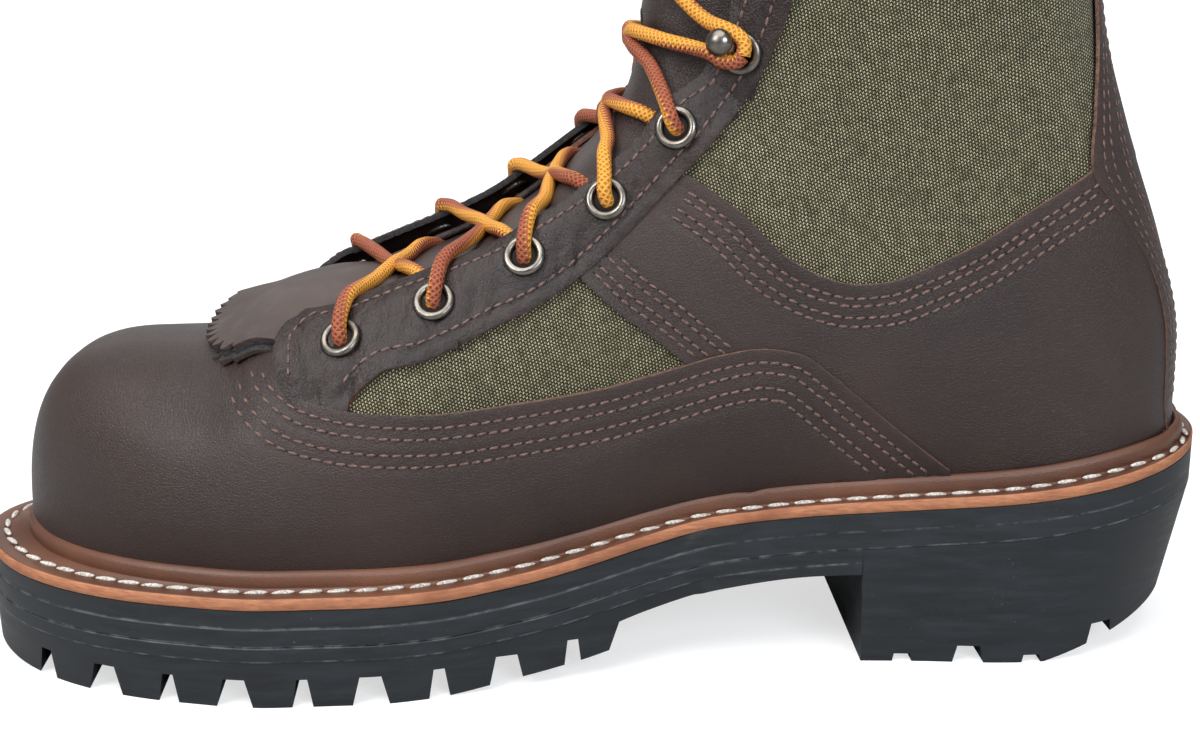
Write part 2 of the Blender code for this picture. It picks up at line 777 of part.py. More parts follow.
def make_upper():
    bm = bmesh.new()
    last_sheet(bm, SHEET_ROWS)
    upper = finish_object("upper", bm, green_nylon())
    solidify(upper, WALL, -1.0)
    return upper


def rib_line(from_x, to_x):
    """Side view just over the welt's rib, which at the ends rises with the welt's outer edge."""
    places = np.linspace(from_x, to_x, 16)
    tops = np.maximum(welt_top(places), welt_top(places * 1.06))
    return list(zip(places, tops + RIB_HIGH + 2.0 * FIT_GAP))


def side_tool(name, outline, y_from, y_to):
    """Bar through the boot whose side view is an outline."""
    bm = bmesh.new()
    face = bm.faces.new([bm.verts.new(place((x, y_from, z))) for x, z in outline])
    grown = bmesh.ops.extrude_face_region(bm, geom=[face])
    moved = [v for v in grown["geom"] if isinstance(v, bmesh.types.BMVert)]
    bmesh.ops.translate(bm, verts=moved, vec=(0.0, (y_to - y_from) * MM, 0.0))
    return hide_tool(finish_object(name, bm, None))


def back_tool(name, spread, deeper):
    """Bar through the heel whose back view is the backstay, wider by a spread and deeper below."""
    edge = [(-row.half - spread, row.z) for row in BACKSTAY]
    edge[0] = (edge[0][0], edge[0][1] - deeper)
    outline = edge + [(-y, z) for y, z in reversed(edge)]
    bm = bmesh.new()
    face = bm.faces.new([bm.verts.new(place((BACKSTAY_FRONT_X, y + CENTRE_Y, z))) for y, z in outline])
    grown = bmesh.ops.extrude_face_region(bm, geom=[face])
    moved = [v for v in grown["geom"] if isinstance(v, bmesh.types.BMVert)]
    bmesh.ops.translate(bm, verts=moved, vec=((PAST_HEEL_X - BACKSTAY_FRONT_X) * MM, 0.0, 0.0))
    return hide_tool(finish_object(name, bm, None))


def leather_panel(name, tool, thickness):
    """Piece of a larger leather form over the upper, cut out by a tool."""
    bm = bmesh.new()
    last_sheet(bm, SHEET_ROWS)
    panel = finish_object(name, bm, brown_leather())
    lift = panel.modifiers.new("lift", "DISPLACE")
    lift.strength = FIT_GAP * MM
    lift.mid_level = 0.0
    solidify(panel, thickness, 1.0)
    cut(panel, tool, "INTERSECT")
    return panel


def make_vamp():
    last_x, _ = VAMP_EDGE[-1]
    outline = [(PAST_TOE_X, VAMP_EDGE[0][1])] + VAMP_EDGE + rib_line(last_x, PAST_TOE_X)
    return leather_panel("vamp", side_tool("vamp_tool", outline, -TOOL_REACH, TOOL_REACH), LEATHER)


def make_quarters(backstay_gap):
    above_vamp = [(x, z + 0.5) for x, z in VAMP_EDGE if x > QUARTER_FRONT[0][0]]
    lower = above_vamp + rib_line(above_vamp[-1][0] + 2.4, PAST_HEEL_X)
    outline = QUARTER_FRONT[::-1] + lower + QUARTER_TOP[::-1]
    for side, name in ((-1, "quarter_inner"), (1, "quarter_outer")):
        tool = side_tool(name + "_tool", outline, *sorted((0.0, TOOL_REACH * side)))
        cut(leather_panel(name, tool, LEATHER), backstay_gap)


def make_eyestays():
    for side, name in ((-1, "eyestay_inner"), (1, "eyestay_outer")):
        edges = sorted((EYESTAY_INNER_Y[side], TOOL_REACH * side))
        leather_panel(name, side_tool(name + "_tool", EYESTAY_FRONT + EYESTAY_LOW, *edges), LEATHER)


def make_backstay():
    return leather_panel("backstay", back_tool("backstay_tool", 0.0, 0.0), LEATHER + 0.6)


def face_toward(bm, direction):
    """Turn a sheet's faces so that they look along a direction."""
    bm.normal_update()
    total = sum((face.normal * face.calc_area() for face in bm.faces), Vector())
    if total.dot(Vector(direction)) < 0.0:
        bmesh.ops.reverse_faces(bm, faces=bm.faces)


def sheet_object(name, bm, skin, direction, thickness):
    """Sheet made solid on its inner side."""
    face_toward(bm, direction)
    mesh = bpy.data.meshes.new(name)
    bm.to_mesh(mesh)
    bm.free()
    mesh.shade_smooth()
    mesh.materials.append(skin)
    made = bpy.data.objects.new(name, mesh)
    bpy.context.collection.objects.link(made)
    solidify(made, thickness, -1.0)
    return made


def tongue_lift(u, offset):
    """Outer face of the tongue over the last: tucked in at its sides, swelling between them."""
    rows, heights = zip(*TONGUE_SWELL)
    swell = smooth_curve(rows, heights, u)
    share = abs(offset) / (throat_half(u) - TONGUE_FLAT)
    return -(WALL + TONGUE_CLEAR) + float(swell) * max(0.0, 1.0 - share**2)


def tongue_offsets(u):
    """Where the columns of the tongue lie, from the inner to the outer side."""
    half = throat_half(u)
    tuck = TONGUE_TUCK * min(1.0, (u - ROW["throat"]) * 1.5)
    outer = [0.45 * half, half - TONGUE_FLAT, half + tuck]
    return [-offset for offset in reversed(outer)] + [0.0] + outer


def make_tongue():
    rows = np.concatenate([[3.3, 3.6], np.linspace(4.0, 15.0, 13)])
    columns = len(tongue_offsets(rows[0])) - 1

    def mapping(i, j):
        u = rows[min(i, len(rows) - 1)]
        offset = tongue_offsets(u)[j]
        point = lifted_crown(u, offset, tongue_lift(u, offset))
        if i == len(rows):
            fall = abs(j - columns / 2.0) / (columns / 2.0)
            point = point + np.array([0.6, 0.0, TONGUE_ABOVE_COLLAR * (1.0 - 0.7 * fall**4)])
        return point

    bm = bmesh.new()
    mapped_grid(bm, len(rows), columns, mapping)
    return sheet_object("tongue", bm, brown_leather(), (-1.0, 0.0, 0.6), TONGUE_THICK)


def make_kiltie():
    """Fringed flap over the vamp, whose narrow end goes into the throat."""
    columns = 6

    def mapping(i, j):
        flap = KILTIE[i]
        share = -1.0 + 2.0 * j / columns
        return lifted_crown(flap.row, share * flap.half, flap.lift)

    bm = bmesh.new()
    mapped_grid(bm, len(KILTIE) - 1, columns, mapping)
    return sheet_object("kiltie", bm, brown_leather(), (-0.3, 0.0, 1.0), KILTIE_THICK)


def inset_offset(u, side, inset):
    """Distance from the crest of a point on the eyestay, an inset away from the throat edge."""
    points, half, _, crown = section_curve(u, side)
    lengths = arc_lengths(points)
    edge = float(np.interp(-throat_half(u), -half[crown], lengths[crown]))
    return side * float(np.interp(edge - inset, lengths, half))


def stud_inset(u):
    """Distance of the eyelets and hooks from the throat edge, larger on the vamp."""
    insets = [FIRST_EYELET_INSET, FIRST_EYELET_INSET, EYELET_INSET, EYELET_INSET]
    return float(smooth_curve([ROW[name] for name in ("throat", "ball", "waist", "collar")], insets, u))


def lace_rows():
    """Section rows of the eyelets and hooks, evenly spaced along the throat edge."""
    rows = np.linspace(ROW["throat"] + 0.3, ROW["collar"], 200)
    line = np.array([crown_point(u, inset_offset(u, -1, stud_inset(u))) for u in rows])
    distance = arc_lengths(line)
    return np.interp(LACE_FIRST + LACE_PITCH * np.arange(LACE_ROWS), distance, rows)


def stud_frame(u, side):
    """Place and turn of a stud on the eyestay: its Z out of the leather, its X to the throat."""
    offset = inset_offset(u, side, stud_inset(u))
    lift = FIT_GAP + LEATHER + FIT_GAP
    normal = Vector(crown_normal(u, offset))
    toward = Vector(crown_point(u, offset - side * 2.0) - crown_point(u, offset))
    toward = (toward - normal * toward.dot(normal)).normalized()
    frame = Matrix((toward, normal.cross(toward), normal)).transposed().to_4x4()
    frame.translation = place(lifted_crown(u, offset, lift))
    return frame


def make_eyelet(name, frame):
    """Rolled metal ring."""
    profile = [
        (EYELET_HOLE, 0.0),
        (EYELET_RADIUS, 0.0),
        (EYELET_RADIUS - 0.9, EYELET_HIGH),
        (EYELET_HOLE + 0.5, EYELET_HIGH),
    ]
    bm = bmesh.new()
    ring = [bm.verts.new((r * MM, 0.0, z * MM)) for r, z in profile]
    edges = [bm.edges.new((ring[k - 1], ring[k])) for k in range(len(ring))]
    bmesh.ops.spin(
        bm,
        geom=ring + edges,
        axis=(0.0, 0.0, 1.0),
        cent=(0.0, 0.0, 0.0),
        steps=EYELET_SIDES,
        angle=2.0 * math.pi,
        use_merge=True,
    )
    bmesh.ops.transform(bm, matrix=frame, verts=bm.verts)
    return finish_object(name, bm, nickel())


def make_hook(name, frame):
    """Speed hook: washer, bent neck and domed head, lofted through rings that lean to the throat."""
    sides = 6
    bm = bmesh.new()
    loops = []
    for ring in HOOK_RINGS:
        loop = []
        for k in range(sides):
            angle = 2.0 * math.pi * k / sides
            x = ring.radius * math.cos(angle) + ring.lean * HOOK_REACH
            loop.append(bm.verts.new((x * MM, ring.radius * math.sin(angle) * MM, ring.up * MM)))
        loops.append(loop)
    bm.faces.new(loops[0])
    bm.faces.new(loops[-1])
    for low, high in zip(loops, loops[1:]):
        for k in range(sides):
            bm.faces.new((low[k - 1], low[k], high[k], high[k - 1]))
    bmesh.ops.transform(bm, matrix=frame, verts=bm.verts)
    return finish_object(name, bm, nickel())


def make_studs(rows):
    for index, u in enumerate(rows):
        for side, word in ((-1, "inner"), (1, "outer")):
            frame = stud_frame(u, side)
            if index < EYELET_ROWS:
                make_eyelet(f"eyelet_{word}_{index + 1}", frame)
            else:
                make_hook(f"hook_{word}_{index + 1 - EYELET_ROWS}", frame)


def strand_route(low, high, side):
    """Lace from over one eyestay edge, across the tongue, to inside the other eyestay edge."""
    over = FIT_GAP + LEATHER + 3.0 * FIT_GAP + LACE_RADIUS
    start_u = low + 0.22 * (high - low)
    finish_u = high - 0.12 * (high - low)
    start = inset_offset(start_u, side, 2.0)
    finish = -side * (throat_half(finish_u) - LACE_RADIUS - 4.0 * FIT_GAP)
    route = [lifted_crown(start_u, start, over)]
    for step, lowest in ((0.3, over), (0.5, 1.5), (0.75, 1.0), (1.0, 1.0)):
        u = start_u + step * (finish_u - start_u)
        offset = start + step * (finish - start)
        tongue = tongue_lift(u, offset)
        route.append(lifted_crown(u, offset, max(lowest, tongue + 4.0 * FIT_GAP + LACE_RADIUS)))
    return route


def strand_tube(name, route):
    """Closed tube of few sides through the points of a route."""
    sides = 5
    bm = bmesh.new()
    loops = []
    for k, point in enumerate(route):
        ahead = route[min(k + 1, len(route) - 1)] - route[max(k - 1, 0)]
        turn = Vector(ahead).to_track_quat("Z", "Y").to_matrix()
        loop = []
        for j in range(sides):
            angle = 2.0 * math.pi * j / sides
            spoke = turn @ Vector((math.cos(angle), math.sin(angle), 0.0)) * LACE_RADIUS
            loop.append(bm.verts.new(place(point + np.array(spoke))))
        loops.append(loop)
    bm.faces.new(loops[0])
    bm.faces.new(loops[-1])
    for low, high in zip(loops, loops[1:]):
        for j in range(sides):
            bm.faces.new((low[j - 1], low[j], high[j], high[j - 1]))
    return finish_object(name, bm, lace_braid())


def make_laces(rows):
    """One joined crossing between each two rows of eyelets or hooks."""
    for index, (low, high) in enumerate(zip(rows, rows[1:])):
        crossing = strand_tube(f"lace_{index + 1}", strand_route(low, high, -1))
        other = hide_tool(strand_tube(f"lace_{index + 1}_other", strand_route(low, high, 1)))
        cut(crossing, other, "UNION")


def main():
    clear_scene()
    make_outsole()
    make_heel()
    make_midsole()
    make_welt()
    make_insole()
    make_upper()
    make_vamp()
    make_quarters(back_tool("backstay_gap", FIT_GAP, 20.0))
    make_eyestays()
    make_backstay()
    make_tongue()
    make_kiltie()
    rows = lace_rows()
    make_studs(rows)
    make_laces(rows)


main()
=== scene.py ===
"""Looks of the lace-up logger boot: leather, woven nylon, stitching, laces, metal and rubber.

Sizes are in millimetres in the boot's own frame (toe toward -X, inner side toward -Y, floor at
z = 0) and become metres in the part's frame when a mesh is made.
"""

import math
from collections import namedtuple
from functools import lru_cache

import bmesh
import bpy
import numpy as np
from mathutils import Matrix, Vector, noise
from mathutils.bvhtree import BVHTree


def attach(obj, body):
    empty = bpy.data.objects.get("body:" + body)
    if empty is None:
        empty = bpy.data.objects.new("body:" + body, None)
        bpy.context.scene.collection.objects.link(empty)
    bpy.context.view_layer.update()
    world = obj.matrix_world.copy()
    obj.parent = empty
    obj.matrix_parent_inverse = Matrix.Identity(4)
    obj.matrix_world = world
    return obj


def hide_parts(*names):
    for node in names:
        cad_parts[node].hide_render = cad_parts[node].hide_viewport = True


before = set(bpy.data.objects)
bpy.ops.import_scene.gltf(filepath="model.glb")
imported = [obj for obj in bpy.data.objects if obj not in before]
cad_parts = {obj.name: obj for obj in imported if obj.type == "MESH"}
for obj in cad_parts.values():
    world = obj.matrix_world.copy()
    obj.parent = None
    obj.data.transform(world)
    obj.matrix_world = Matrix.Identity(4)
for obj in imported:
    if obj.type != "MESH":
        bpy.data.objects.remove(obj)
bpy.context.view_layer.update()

MM = 0.001
BOOT_CENTRE = np.array([-1.7, 1.699, 0.0])
SIDES = ((-1, "inner"), (1, "outer"))
PAST_ENDS_X = 165.0

# Camera: the point it looks at and where it stands, both in millimetres
CAMERA_TARGET = (0.2, 0.0, 66.0)
CAMERA_EYE = (-22.8, -439.2, 183.8)
CAMERA_LENS = 54.0

# Last and sole
TOE_TIP_X = -143.0
HEEL_END_X = 146.6
TOE_ROUND = 56.0
TOE_ROUND_POWER = 1.85
TOE_RISE = 32.0
TOE_RISE_POWER = 2.7
HEEL_ROUND = 38.0
HEEL_ROUND_POWER = 2.2
SECTION_POINTS = 181
WALL = 1.6
SKIN_DROP = 2.2
FIT_GAP = 0.3
WELT_THICK = 3.0
RIB_HIGH = 4.2
RIB_WIDE = 3.0
RIB_COVER = 1.2
RIB_AHEAD = 1.06
WELT_CLEAR = 0.4
NEAR_WALL = 12.0
MIDSOLE_THICK = 9.0
UPPER_LIFT = 1.4
LUG_END_X = 1.0
BREAST_X = 62.2
HEEL_FOOT_FRONT_X = 63.0
HEEL_FOOT_BACK_X = 146.0
HEEL_FOOT_WIDTH = 0.95
HEEL_TAPER_X = 90.0
HEEL_TAPER = 0.2
HEEL_BEVEL_X = 107.0
HEEL_BEVEL_SLOPE = 0.29
GAP_FIRST_X = -134.5
GAP_PITCH = 15.75
GAP_COUNT = 9
GAP_NARROW = (5.5, 2.5)
GAP_WIDE = (9.5, 5.0)
GAP_INNER_Y = 19.0
CHANNEL_Y = 13.0
CHANNEL_WIDE = 5.0
UNDER_SOLE_Z = -2.0
LUG_CUT_Y = 70.0
HEEL_CUT_Y = 60.0

# Throat, tongue and lacing
THROAT_HALF = 24.0
COLLAR_HALF = 25.0
THROAT_ROUND_ROWS = 0.6
TONGUE_THICK = 2.4
TONGUE_TUCK = 7.0
TONGUE_CLEAR = 1.2
TONGUE_FLAT = 2.5
TONGUE_ABOVE_COLLAR = 8.0
LACE_ROWS = 10
EYELET_ROWS = 5
LACE_FIRST = 12.0
LACE_PITCH = 23.0
LACE_RADIUS = 1.75
EYELET_INSET = 6.5
FIRST_EYELET_INSET = 11.0

# Edges of the leather panels in the side view, as (x, z)
VAMP_EDGE = [
    (-76.5, 86.0), (-76.0, 76.0), (-73.0, 72.8), (-69.0, 70.8), (-57.0, 68.6), (-41.0, 67.7),
    (-20.0, 69.3), (-2.0, 71.3), (15.0, 75.4), (26.0, 78.4), (36.0, 79.8), (45.0, 78.4), (52.0, 73.7),
    (61.0, 66.0), (80.6, 49.7), (82.6, 48.2),
]
QUARTER_FRONT = [(18.0, 76.7), (8.5, 84.5), (3.0, 88.4), (-6.1, 97.0)]
QUARTER_TOP = [
    (18.4, 120.2), (30.8, 111.5), (40.8, 101.7), (51.0, 96.2), (57.7, 94.8), (64.7, 95.2), (71.5, 97.3),
    (85.2, 103.3), (98.0, 111.6), (111.5, 119.7), (165.0, 150.0),
]
EYESTAY_LOW = [
    (-60.0, 69.8), (-55.2, 75.1), (-51.1, 77.8), (-42.6, 79.6), (-34.2, 82.9), (-25.6, 86.9), (-17.1, 90.6),
    (-6.1, 97.3), (17.6, 120.3), (27.1, 130.8), (32.0, 137.0), (36.0, 144.0), (39.5, 152.0), (42.5, 162.0),
    (48.0, 185.0), (52.0, 210.0), (54.0, 235.0), (55.0, 262.0),
]
EYESTAY_FRONT = [(-75.8, 100.0), (-75.8, 78.0), (-73.8, 71.8), (-69.5, 68.6), (-60.0, 67.4)]
EYESTAY_FRONT_X = -75.8
EYESTAY_INNER_Y = {-1: -26.0, 1: 20.0}
EYESTAY_CORNER = 9.0
EYESTAY_FREE_X = -60.0

Backstay = namedtuple("Backstay", "z half")
BACKSTAY = [
    Backstay(57.5, 24.0),
    Backstay(75.0, 25.0),
    Backstay(92.0, 27.0),
    Backstay(107.0, 31.0),
    Backstay(120.0, 34.0),
    Backstay(135.0, 30.0),
    Backstay(158.0, 22.0),
    Backstay(200.0, 18.0),
    Backstay(262.0, 16.0),
]

Section = namedtuple(
    "Section",
    "name base_x base_z top_x top_z in_foot out_foot in_wide out_wide widest crown base_power lean margin",
)
SECTIONS = [
    Section("tip", TOE_TIP_X, None, -143.0, 77.0, 39.0, 34.0, 42.0, 37.0, 0.36, 2.7, 1.4, -1.5, 11.0),
    Section("cap", -125.0, None, -124.0, 77.2, 40.5, 36.5, 43.5, 39.5, 0.33, 2.6, 1.4, -1.5, 10.3),
    Section("flex", -97.0, None, -96.0, 77.2, 42.5, 42.0, 46.0, 45.5, 0.30, 2.3, 1.4, -2.0, 9.5),
    Section("throat", -78.0, None, -77.0, 87.2, 45.4, 46.0, 49.0, 49.5, 0.27, 2.2, 1.4, -3.0, 9.2),
    Section("ball", -58.0, None, -57.0, 96.5, 45.2, 49.0, 49.0, 52.0, 0.25, 2.3, 1.4, -4.0, 9.0),
    Section("instep", -20.0, None, -24.5, 111.8, 36.7, 46.5, 43.5, 49.0, 0.26, 2.4, 1.4, -4.0, 9.0),
    Section("waist", 25.0, None, -7.5, 127.5, 27.2, 38.5, 37.5, 42.5, 0.28, 2.5, 1.4, -3.0, 8.0),
    Section("seat", 70.0, None, 1.0, 137.0, 30.0, 33.5, 36.5, 38.5, 0.33, 2.7, 1.4, -2.0, 7.0),
    Section("heel", 110.0, None, 6.8, 143.2, 33.8, 33.8, 37.5, 38.0, 0.36, 2.9, 1.6, -1.0, 6.4),
    Section("heel end", HEEL_END_X, None, 11.6, 150.5, 33.0, 33.0, 36.5, 36.5, 0.28, 3.0, 2.1, 0.0, 4.0),
    Section("counter", 146.4, 72.0, 14.3, 155.0, 0.0, 0.0, 36.5, 36.5, 0.28, 3.0, 2.1, 0.0, 0.0),
    Section("achilles", 139.6, 100.5, 19.0, 164.0, 0.0, 0.0, 36.0, 36.0, 0.31, 3.0, 2.1, 0.0, 0.0),
    Section("ankle", 129.2, 127.5, 25.2, 177.0, 0.0, 0.0, 36.5, 37.0, 0.37, 2.9, 2.1, 0.0, 0.0),
    Section("shaft", 120.8, 157.0, 31.0, 196.0, 0.0, 0.0, 39.0, 39.5, 0.43, 2.8, 2.1, 0.0, 0.0),
    Section("calf", 117.0, 200.0, 37.0, 224.0, 0.0, 0.0, 42.0, 42.0, 0.48, 2.5, 2.2, 0.0, 0.0),
    Section("collar", 119.5, 246.0, 39.3, 254.0, 0.0, 0.0, 43.0, 43.0, 0.50, 2.5, 2.2, 0.0, 0.0),
]
ROW = {section.name: float(index) for index, section in enumerate(SECTIONS)}

Sole = namedtuple("Sole", "x welt_top plate tread")
SOLE = [
    Sole(-154.0, 28.6, 8.0, 1.8),
    Sole(-140.0, 27.4, 7.2, 0.4),
    Sole(-122.0, 27.3, 7.0, 0.0),
    Sole(-75.0, 27.3, 7.0, 0.0),
    Sole(-41.0, 27.2, 7.4, 0.0),
    Sole(-24.0, 28.6, 8.6, 1.2),
    Sole(-7.0, 31.4, 10.8, 3.4),
    Sole(10.0, 35.0, 15.4, 7.0),
    Sole(28.0, 38.7, 19.7, 9.0),
    Sole(51.0, 41.1, 22.8, 9.0),
    Sole(73.0, 42.5, 23.5, 9.0),
    Sole(96.0, 44.3, 24.0, 9.0),
    Sole(119.0, 47.4, 25.0, 9.0),
    Sole(135.0, 50.0, 26.0, 9.0),
    Sole(154.0, 53.0, 27.0, 9.0),
]


# Shape of the last

def smooth_curve(knots, values, x):
    """Smooth curve through values at rising knots that never overshoots, flat past both ends."""
    knots = np.asarray(knots, float)
    values = np.asarray(values, float)
    secants = np.diff(values) / np.diff(knots)
    before = np.concatenate([secants[:1], secants])
    after = np.concatenate([secants, secants[-1:]])
    product = before * after
    total = np.where(product > 0.0, before + after, 1.0)
    slopes = np.where(product > 0.0, 2.0 * product / total, 0.0)
    x = np.clip(x, knots[0], knots[-1])
    low = np.clip(np.searchsorted(knots, x) - 1, 0, len(knots) - 2)
    span = knots[low + 1] - knots[low]
    t = (x - knots[low]) / span
    start = (2 * t**3 - 3 * t**2 + 1) * values[low] + (t**3 - 2 * t**2 + t) * span * slopes[low]
    finish = (3 * t**2 - 2 * t**3) * values[low + 1] + (t**3 - t**2) * span * slopes[low + 1]
    return start + finish


def sole_line(name, x):
    return smooth_curve([row.x for row in SOLE], [getattr(row, name) for row in SOLE], x)


def welt_top(x):
    return sole_line("welt_top", x)


def column(name, u):
    return smooth_curve(np.arange(len(SECTIONS)), [getattr(section, name) for section in SECTIONS], u)


def superellipse(share, power):
    """Quarter round that rises from 0 at share 0 to 1 at share 1."""
    share = np.clip(share, 0.0, 1.0)
    return (1.0 - (1.0 - share) ** power) ** (1.0 / power)


def base_point(u):
    x = float(column("base_x", u))
    heel = ROW["heel end"]
    if u <= heel:
        return x, float(welt_top(x)) - WELT_THICK + UPPER_LIFT
    start_z = float(welt_top(HEEL_END_X)) - WELT_THICK + UPPER_LIFT
    rows = np.arange(int(heel), len(SECTIONS))
    heights = [start_z] + [section.base_z for section in SECTIONS[int(heel) + 1:]]
    return x, float(smooth_curve(rows, heights, u))


def toe_round(u):
    return float(superellipse((column("base_x", u) - TOE_TIP_X) / TOE_ROUND, TOE_ROUND_POWER))


def heel_round(u):
    if u >= ROW["heel end"]:
        return 0.0
    return float(superellipse((HEEL_END_X - column("base_x", u)) / HEEL_ROUND, HEEL_ROUND_POWER))


def foot_half(u, side):
    name = "in_foot" if side < 0 else "out_foot"
    return float(column(name, u)) * toe_round(u) * heel_round(u)


def throat_half(u):
    """Half width of the opening in front: none on the vamp, then wider up to the collar."""
    start = ROW["throat"]
    if u <= start:
        return 0.0
    opening = THROAT_HALF + (COLLAR_HALF - THROAT_HALF) * (u - start) / (ROW["collar"] - start)
    return opening * float(superellipse((u - start) / THROAT_ROUND_ROWS, 2.0))


@lru_cache(maxsize=None)
def section_curve(u, side):
    """Points of one half section from the base to the crest, with half widths and shares."""
    base_x, base_z = base_point(u)
    rise = float(superellipse((column("base_x", u) - TOE_TIP_X) / TOE_RISE, TOE_RISE_POWER))
    top_z = base_z + (float(column("top_z", u)) - base_z) * rise
    top_x = base_x + (float(column("top_x", u)) - base_x) * rise
    foot = foot_half(u, side)
    wide = float(column("in_wide" if side < 0 else "out_wide", u)) * toe_round(u)
    widest = float(column("widest", u))
    share = 0.5 - 0.5 * np.cos(np.linspace(0.0, math.pi, SECTION_POINTS))
    lower = foot + (wide - foot) * superellipse(share / widest, float(column("base_power", u)))
    upper = wide * superellipse((1.0 - share) / (1.0 - widest), float(column("crown", u)))
    half = np.where(share < widest, lower, upper)
    lean = float(column("lean", u)) * toe_round(u)
    x = base_x + (top_x - base_x) * share
    y = side * half + lean * share**2
    z = base_z + (top_z - base_z) * share
    return np.stack([x, y, z], axis=1), half, share, share > widest


def arc_lengths(points):
    return np.concatenate([[0.0], np.cumsum(np.linalg.norm(np.diff(points, axis=0), axis=1))])


def along(points, lengths, at):
    return np.stack([np.interp(at, lengths, points[:, k]) for k in range(points.shape[1])], axis=-1)


def last_row(u, side, shares):
    """Points of the upper's outer face on one section: shares run from its base to its upper edge."""
    points, half, share, crown = section_curve(u, side)
    finish = float(np.interp(-throat_half(u), -half[crown], share[crown]))
    return along(points, share, finish * shares)


def crown_point(u, offset):
    """Point over the throat at a distance from the crest, positive toward the outer side."""
    points, half, _, crown = section_curve(u, 1 if offset >= 0 else -1)
    lengths = arc_lengths(points)
    return along(points, lengths, float(np.interp(-abs(offset), -half[crown], lengths[crown])))


def crown_normal(u, offset):
    ahead = crown_point(u + 0.05, offset) - crown_point(u - 0.05, offset)
    across = crown_point(u, offset + 1.0) - crown_point(u, offset - 1.0)
    normal = np.cross(ahead, across)
    return normal / np.linalg.norm(normal)


def lifted_crown(u, offset, lift):
    return crown_point(u, offset) + crown_normal(u, offset) * lift


def row_at_base_x(x):
    rows = np.linspace(0.0, ROW["heel end"], 3000)
    return np.interp(x, column("base_x", rows), rows)


def foot_stations(first_x, last_x, count):
    """Rows of the foot between two places, closer together toward the toe and the heel end."""
    middle = (TOE_TIP_X + HEEL_END_X) / 2.0
    reach = (HEEL_END_X - TOE_TIP_X) / 2.0
    limits = np.arcsin(np.clip((np.array([first_x, last_x]) - middle) / reach, -1.0, 1.0))
    return row_at_base_x(middle + reach * np.sin(np.linspace(limits[0], limits[1], count)))


def plan_normal(u, side):
    before = max(u - 0.004, 0.0)
    after = min(u + 0.004, ROW["heel end"])
    dx = column("base_x", after) - column("base_x", before)
    dy = side * (foot_half(after, side) - foot_half(before, side))
    normal = np.array([-dy, dx]) * side
    return normal / np.linalg.norm(normal)


def edge_point(u, side, extra):
    x = float(column("base_x", u))
    if u <= 0.0:
        return np.array([x - extra, 0.0])
    if u >= ROW["heel end"]:
        return np.array([x + extra, 0.0])
    return np.array([x, side * foot_half(u, side)]) + plan_normal(u, side) * extra


def outline_point(u, side, extra):
    return edge_point(u, side, float(column("margin", u)) + extra)


def place(point):
    return Vector((np.asarray(point, float) - BOOT_CENTRE) * MM)


def boot_point(spot):
    """Place in the boot's frame, in millimetres, of one or more points of the part's frame."""
    return np.array(spot) / MM + BOOT_CENTRE


def boot_points(vertices):
    return boot_point([vertex.co for vertex in vertices])


# Curves in the side view

def rounded(points, steps=6):
    """Smooth curve through a few points."""
    points = np.asarray(points, float)
    lengths = arc_lengths(points)
    spans = [np.linspace(a, b, steps, endpoint=False) for a, b in zip(lengths, lengths[1:])]
    at = np.concatenate(spans + [lengths[-1:]])
    return np.stack([smooth_curve(lengths, points[:, k], at) for k in range(points.shape[1])], axis=1)


def beside(path, distance):
    """Path moved sideways: to the right of its run for a positive distance."""
    ahead = np.gradient(path, axis=0)
    ahead /= np.linalg.norm(ahead, axis=1, keepdims=True)
    return path + distance * np.stack([ahead[:, 1], -ahead[:, 0]], axis=1)


def spaced(path, pitch):
    """Points at an even pitch along a path."""
    lengths = arc_lengths(path)
    return along(path, lengths, np.arange(pitch / 2.0, lengths[-1], pitch))


def path_distance(points, path):
    """Distance of points from a path, both in the plane."""
    nearest = np.full(len(points), 1.0e9)
    for start, finish in zip(path, path[1:]):
        run = finish - start
        share = np.clip(((points - start) @ run) / max(run @ run, 1.0e-9), 0.0, 1.0)
        nearest = np.minimum(nearest, np.linalg.norm(points - start - share[:, None] * run, axis=1))
    return nearest


def region_field(points, outline):
    """Distance from a closed outline in the plane, positive inside."""
    outline = np.asarray(outline, float)
    inside = np.zeros(len(points), bool)
    for (x0, z0), (x1, z1) in zip(outline, np.roll(outline, -1, axis=0)):
        spans = (z0 > points[:, 1]) != (z1 > points[:, 1])
        if z1 != z0:
            inside ^= spans & (points[:, 0] < x0 + (points[:, 1] - z0) * (x1 - x0) / (z1 - z0))
    distance = path_distance(points, np.vstack([outline, outline[:1]]))
    return np.where(inside, distance, -distance)


def rib_line(from_x, to_x):
    """Side view a little under the top of the welt's rib, which covers the panels' lower edge."""
    places = np.linspace(from_x, to_x, 60)
    tops = np.maximum(welt_top(places), welt_top(places * RIB_AHEAD))
    return np.stack([places, tops + RIB_HIGH - RIB_COVER], axis=1)


# Materials

def colour(red, green, blue):
    """Linear colour of a screen colour given in 0 to 255."""
    shares = [value / 255.0 for value in (red, green, blue)]
    linear = [v / 12.92 if v <= 0.04045 else ((v + 0.055) / 1.055) ** 2.4 for v in shares]
    return (*linear, 1.0)


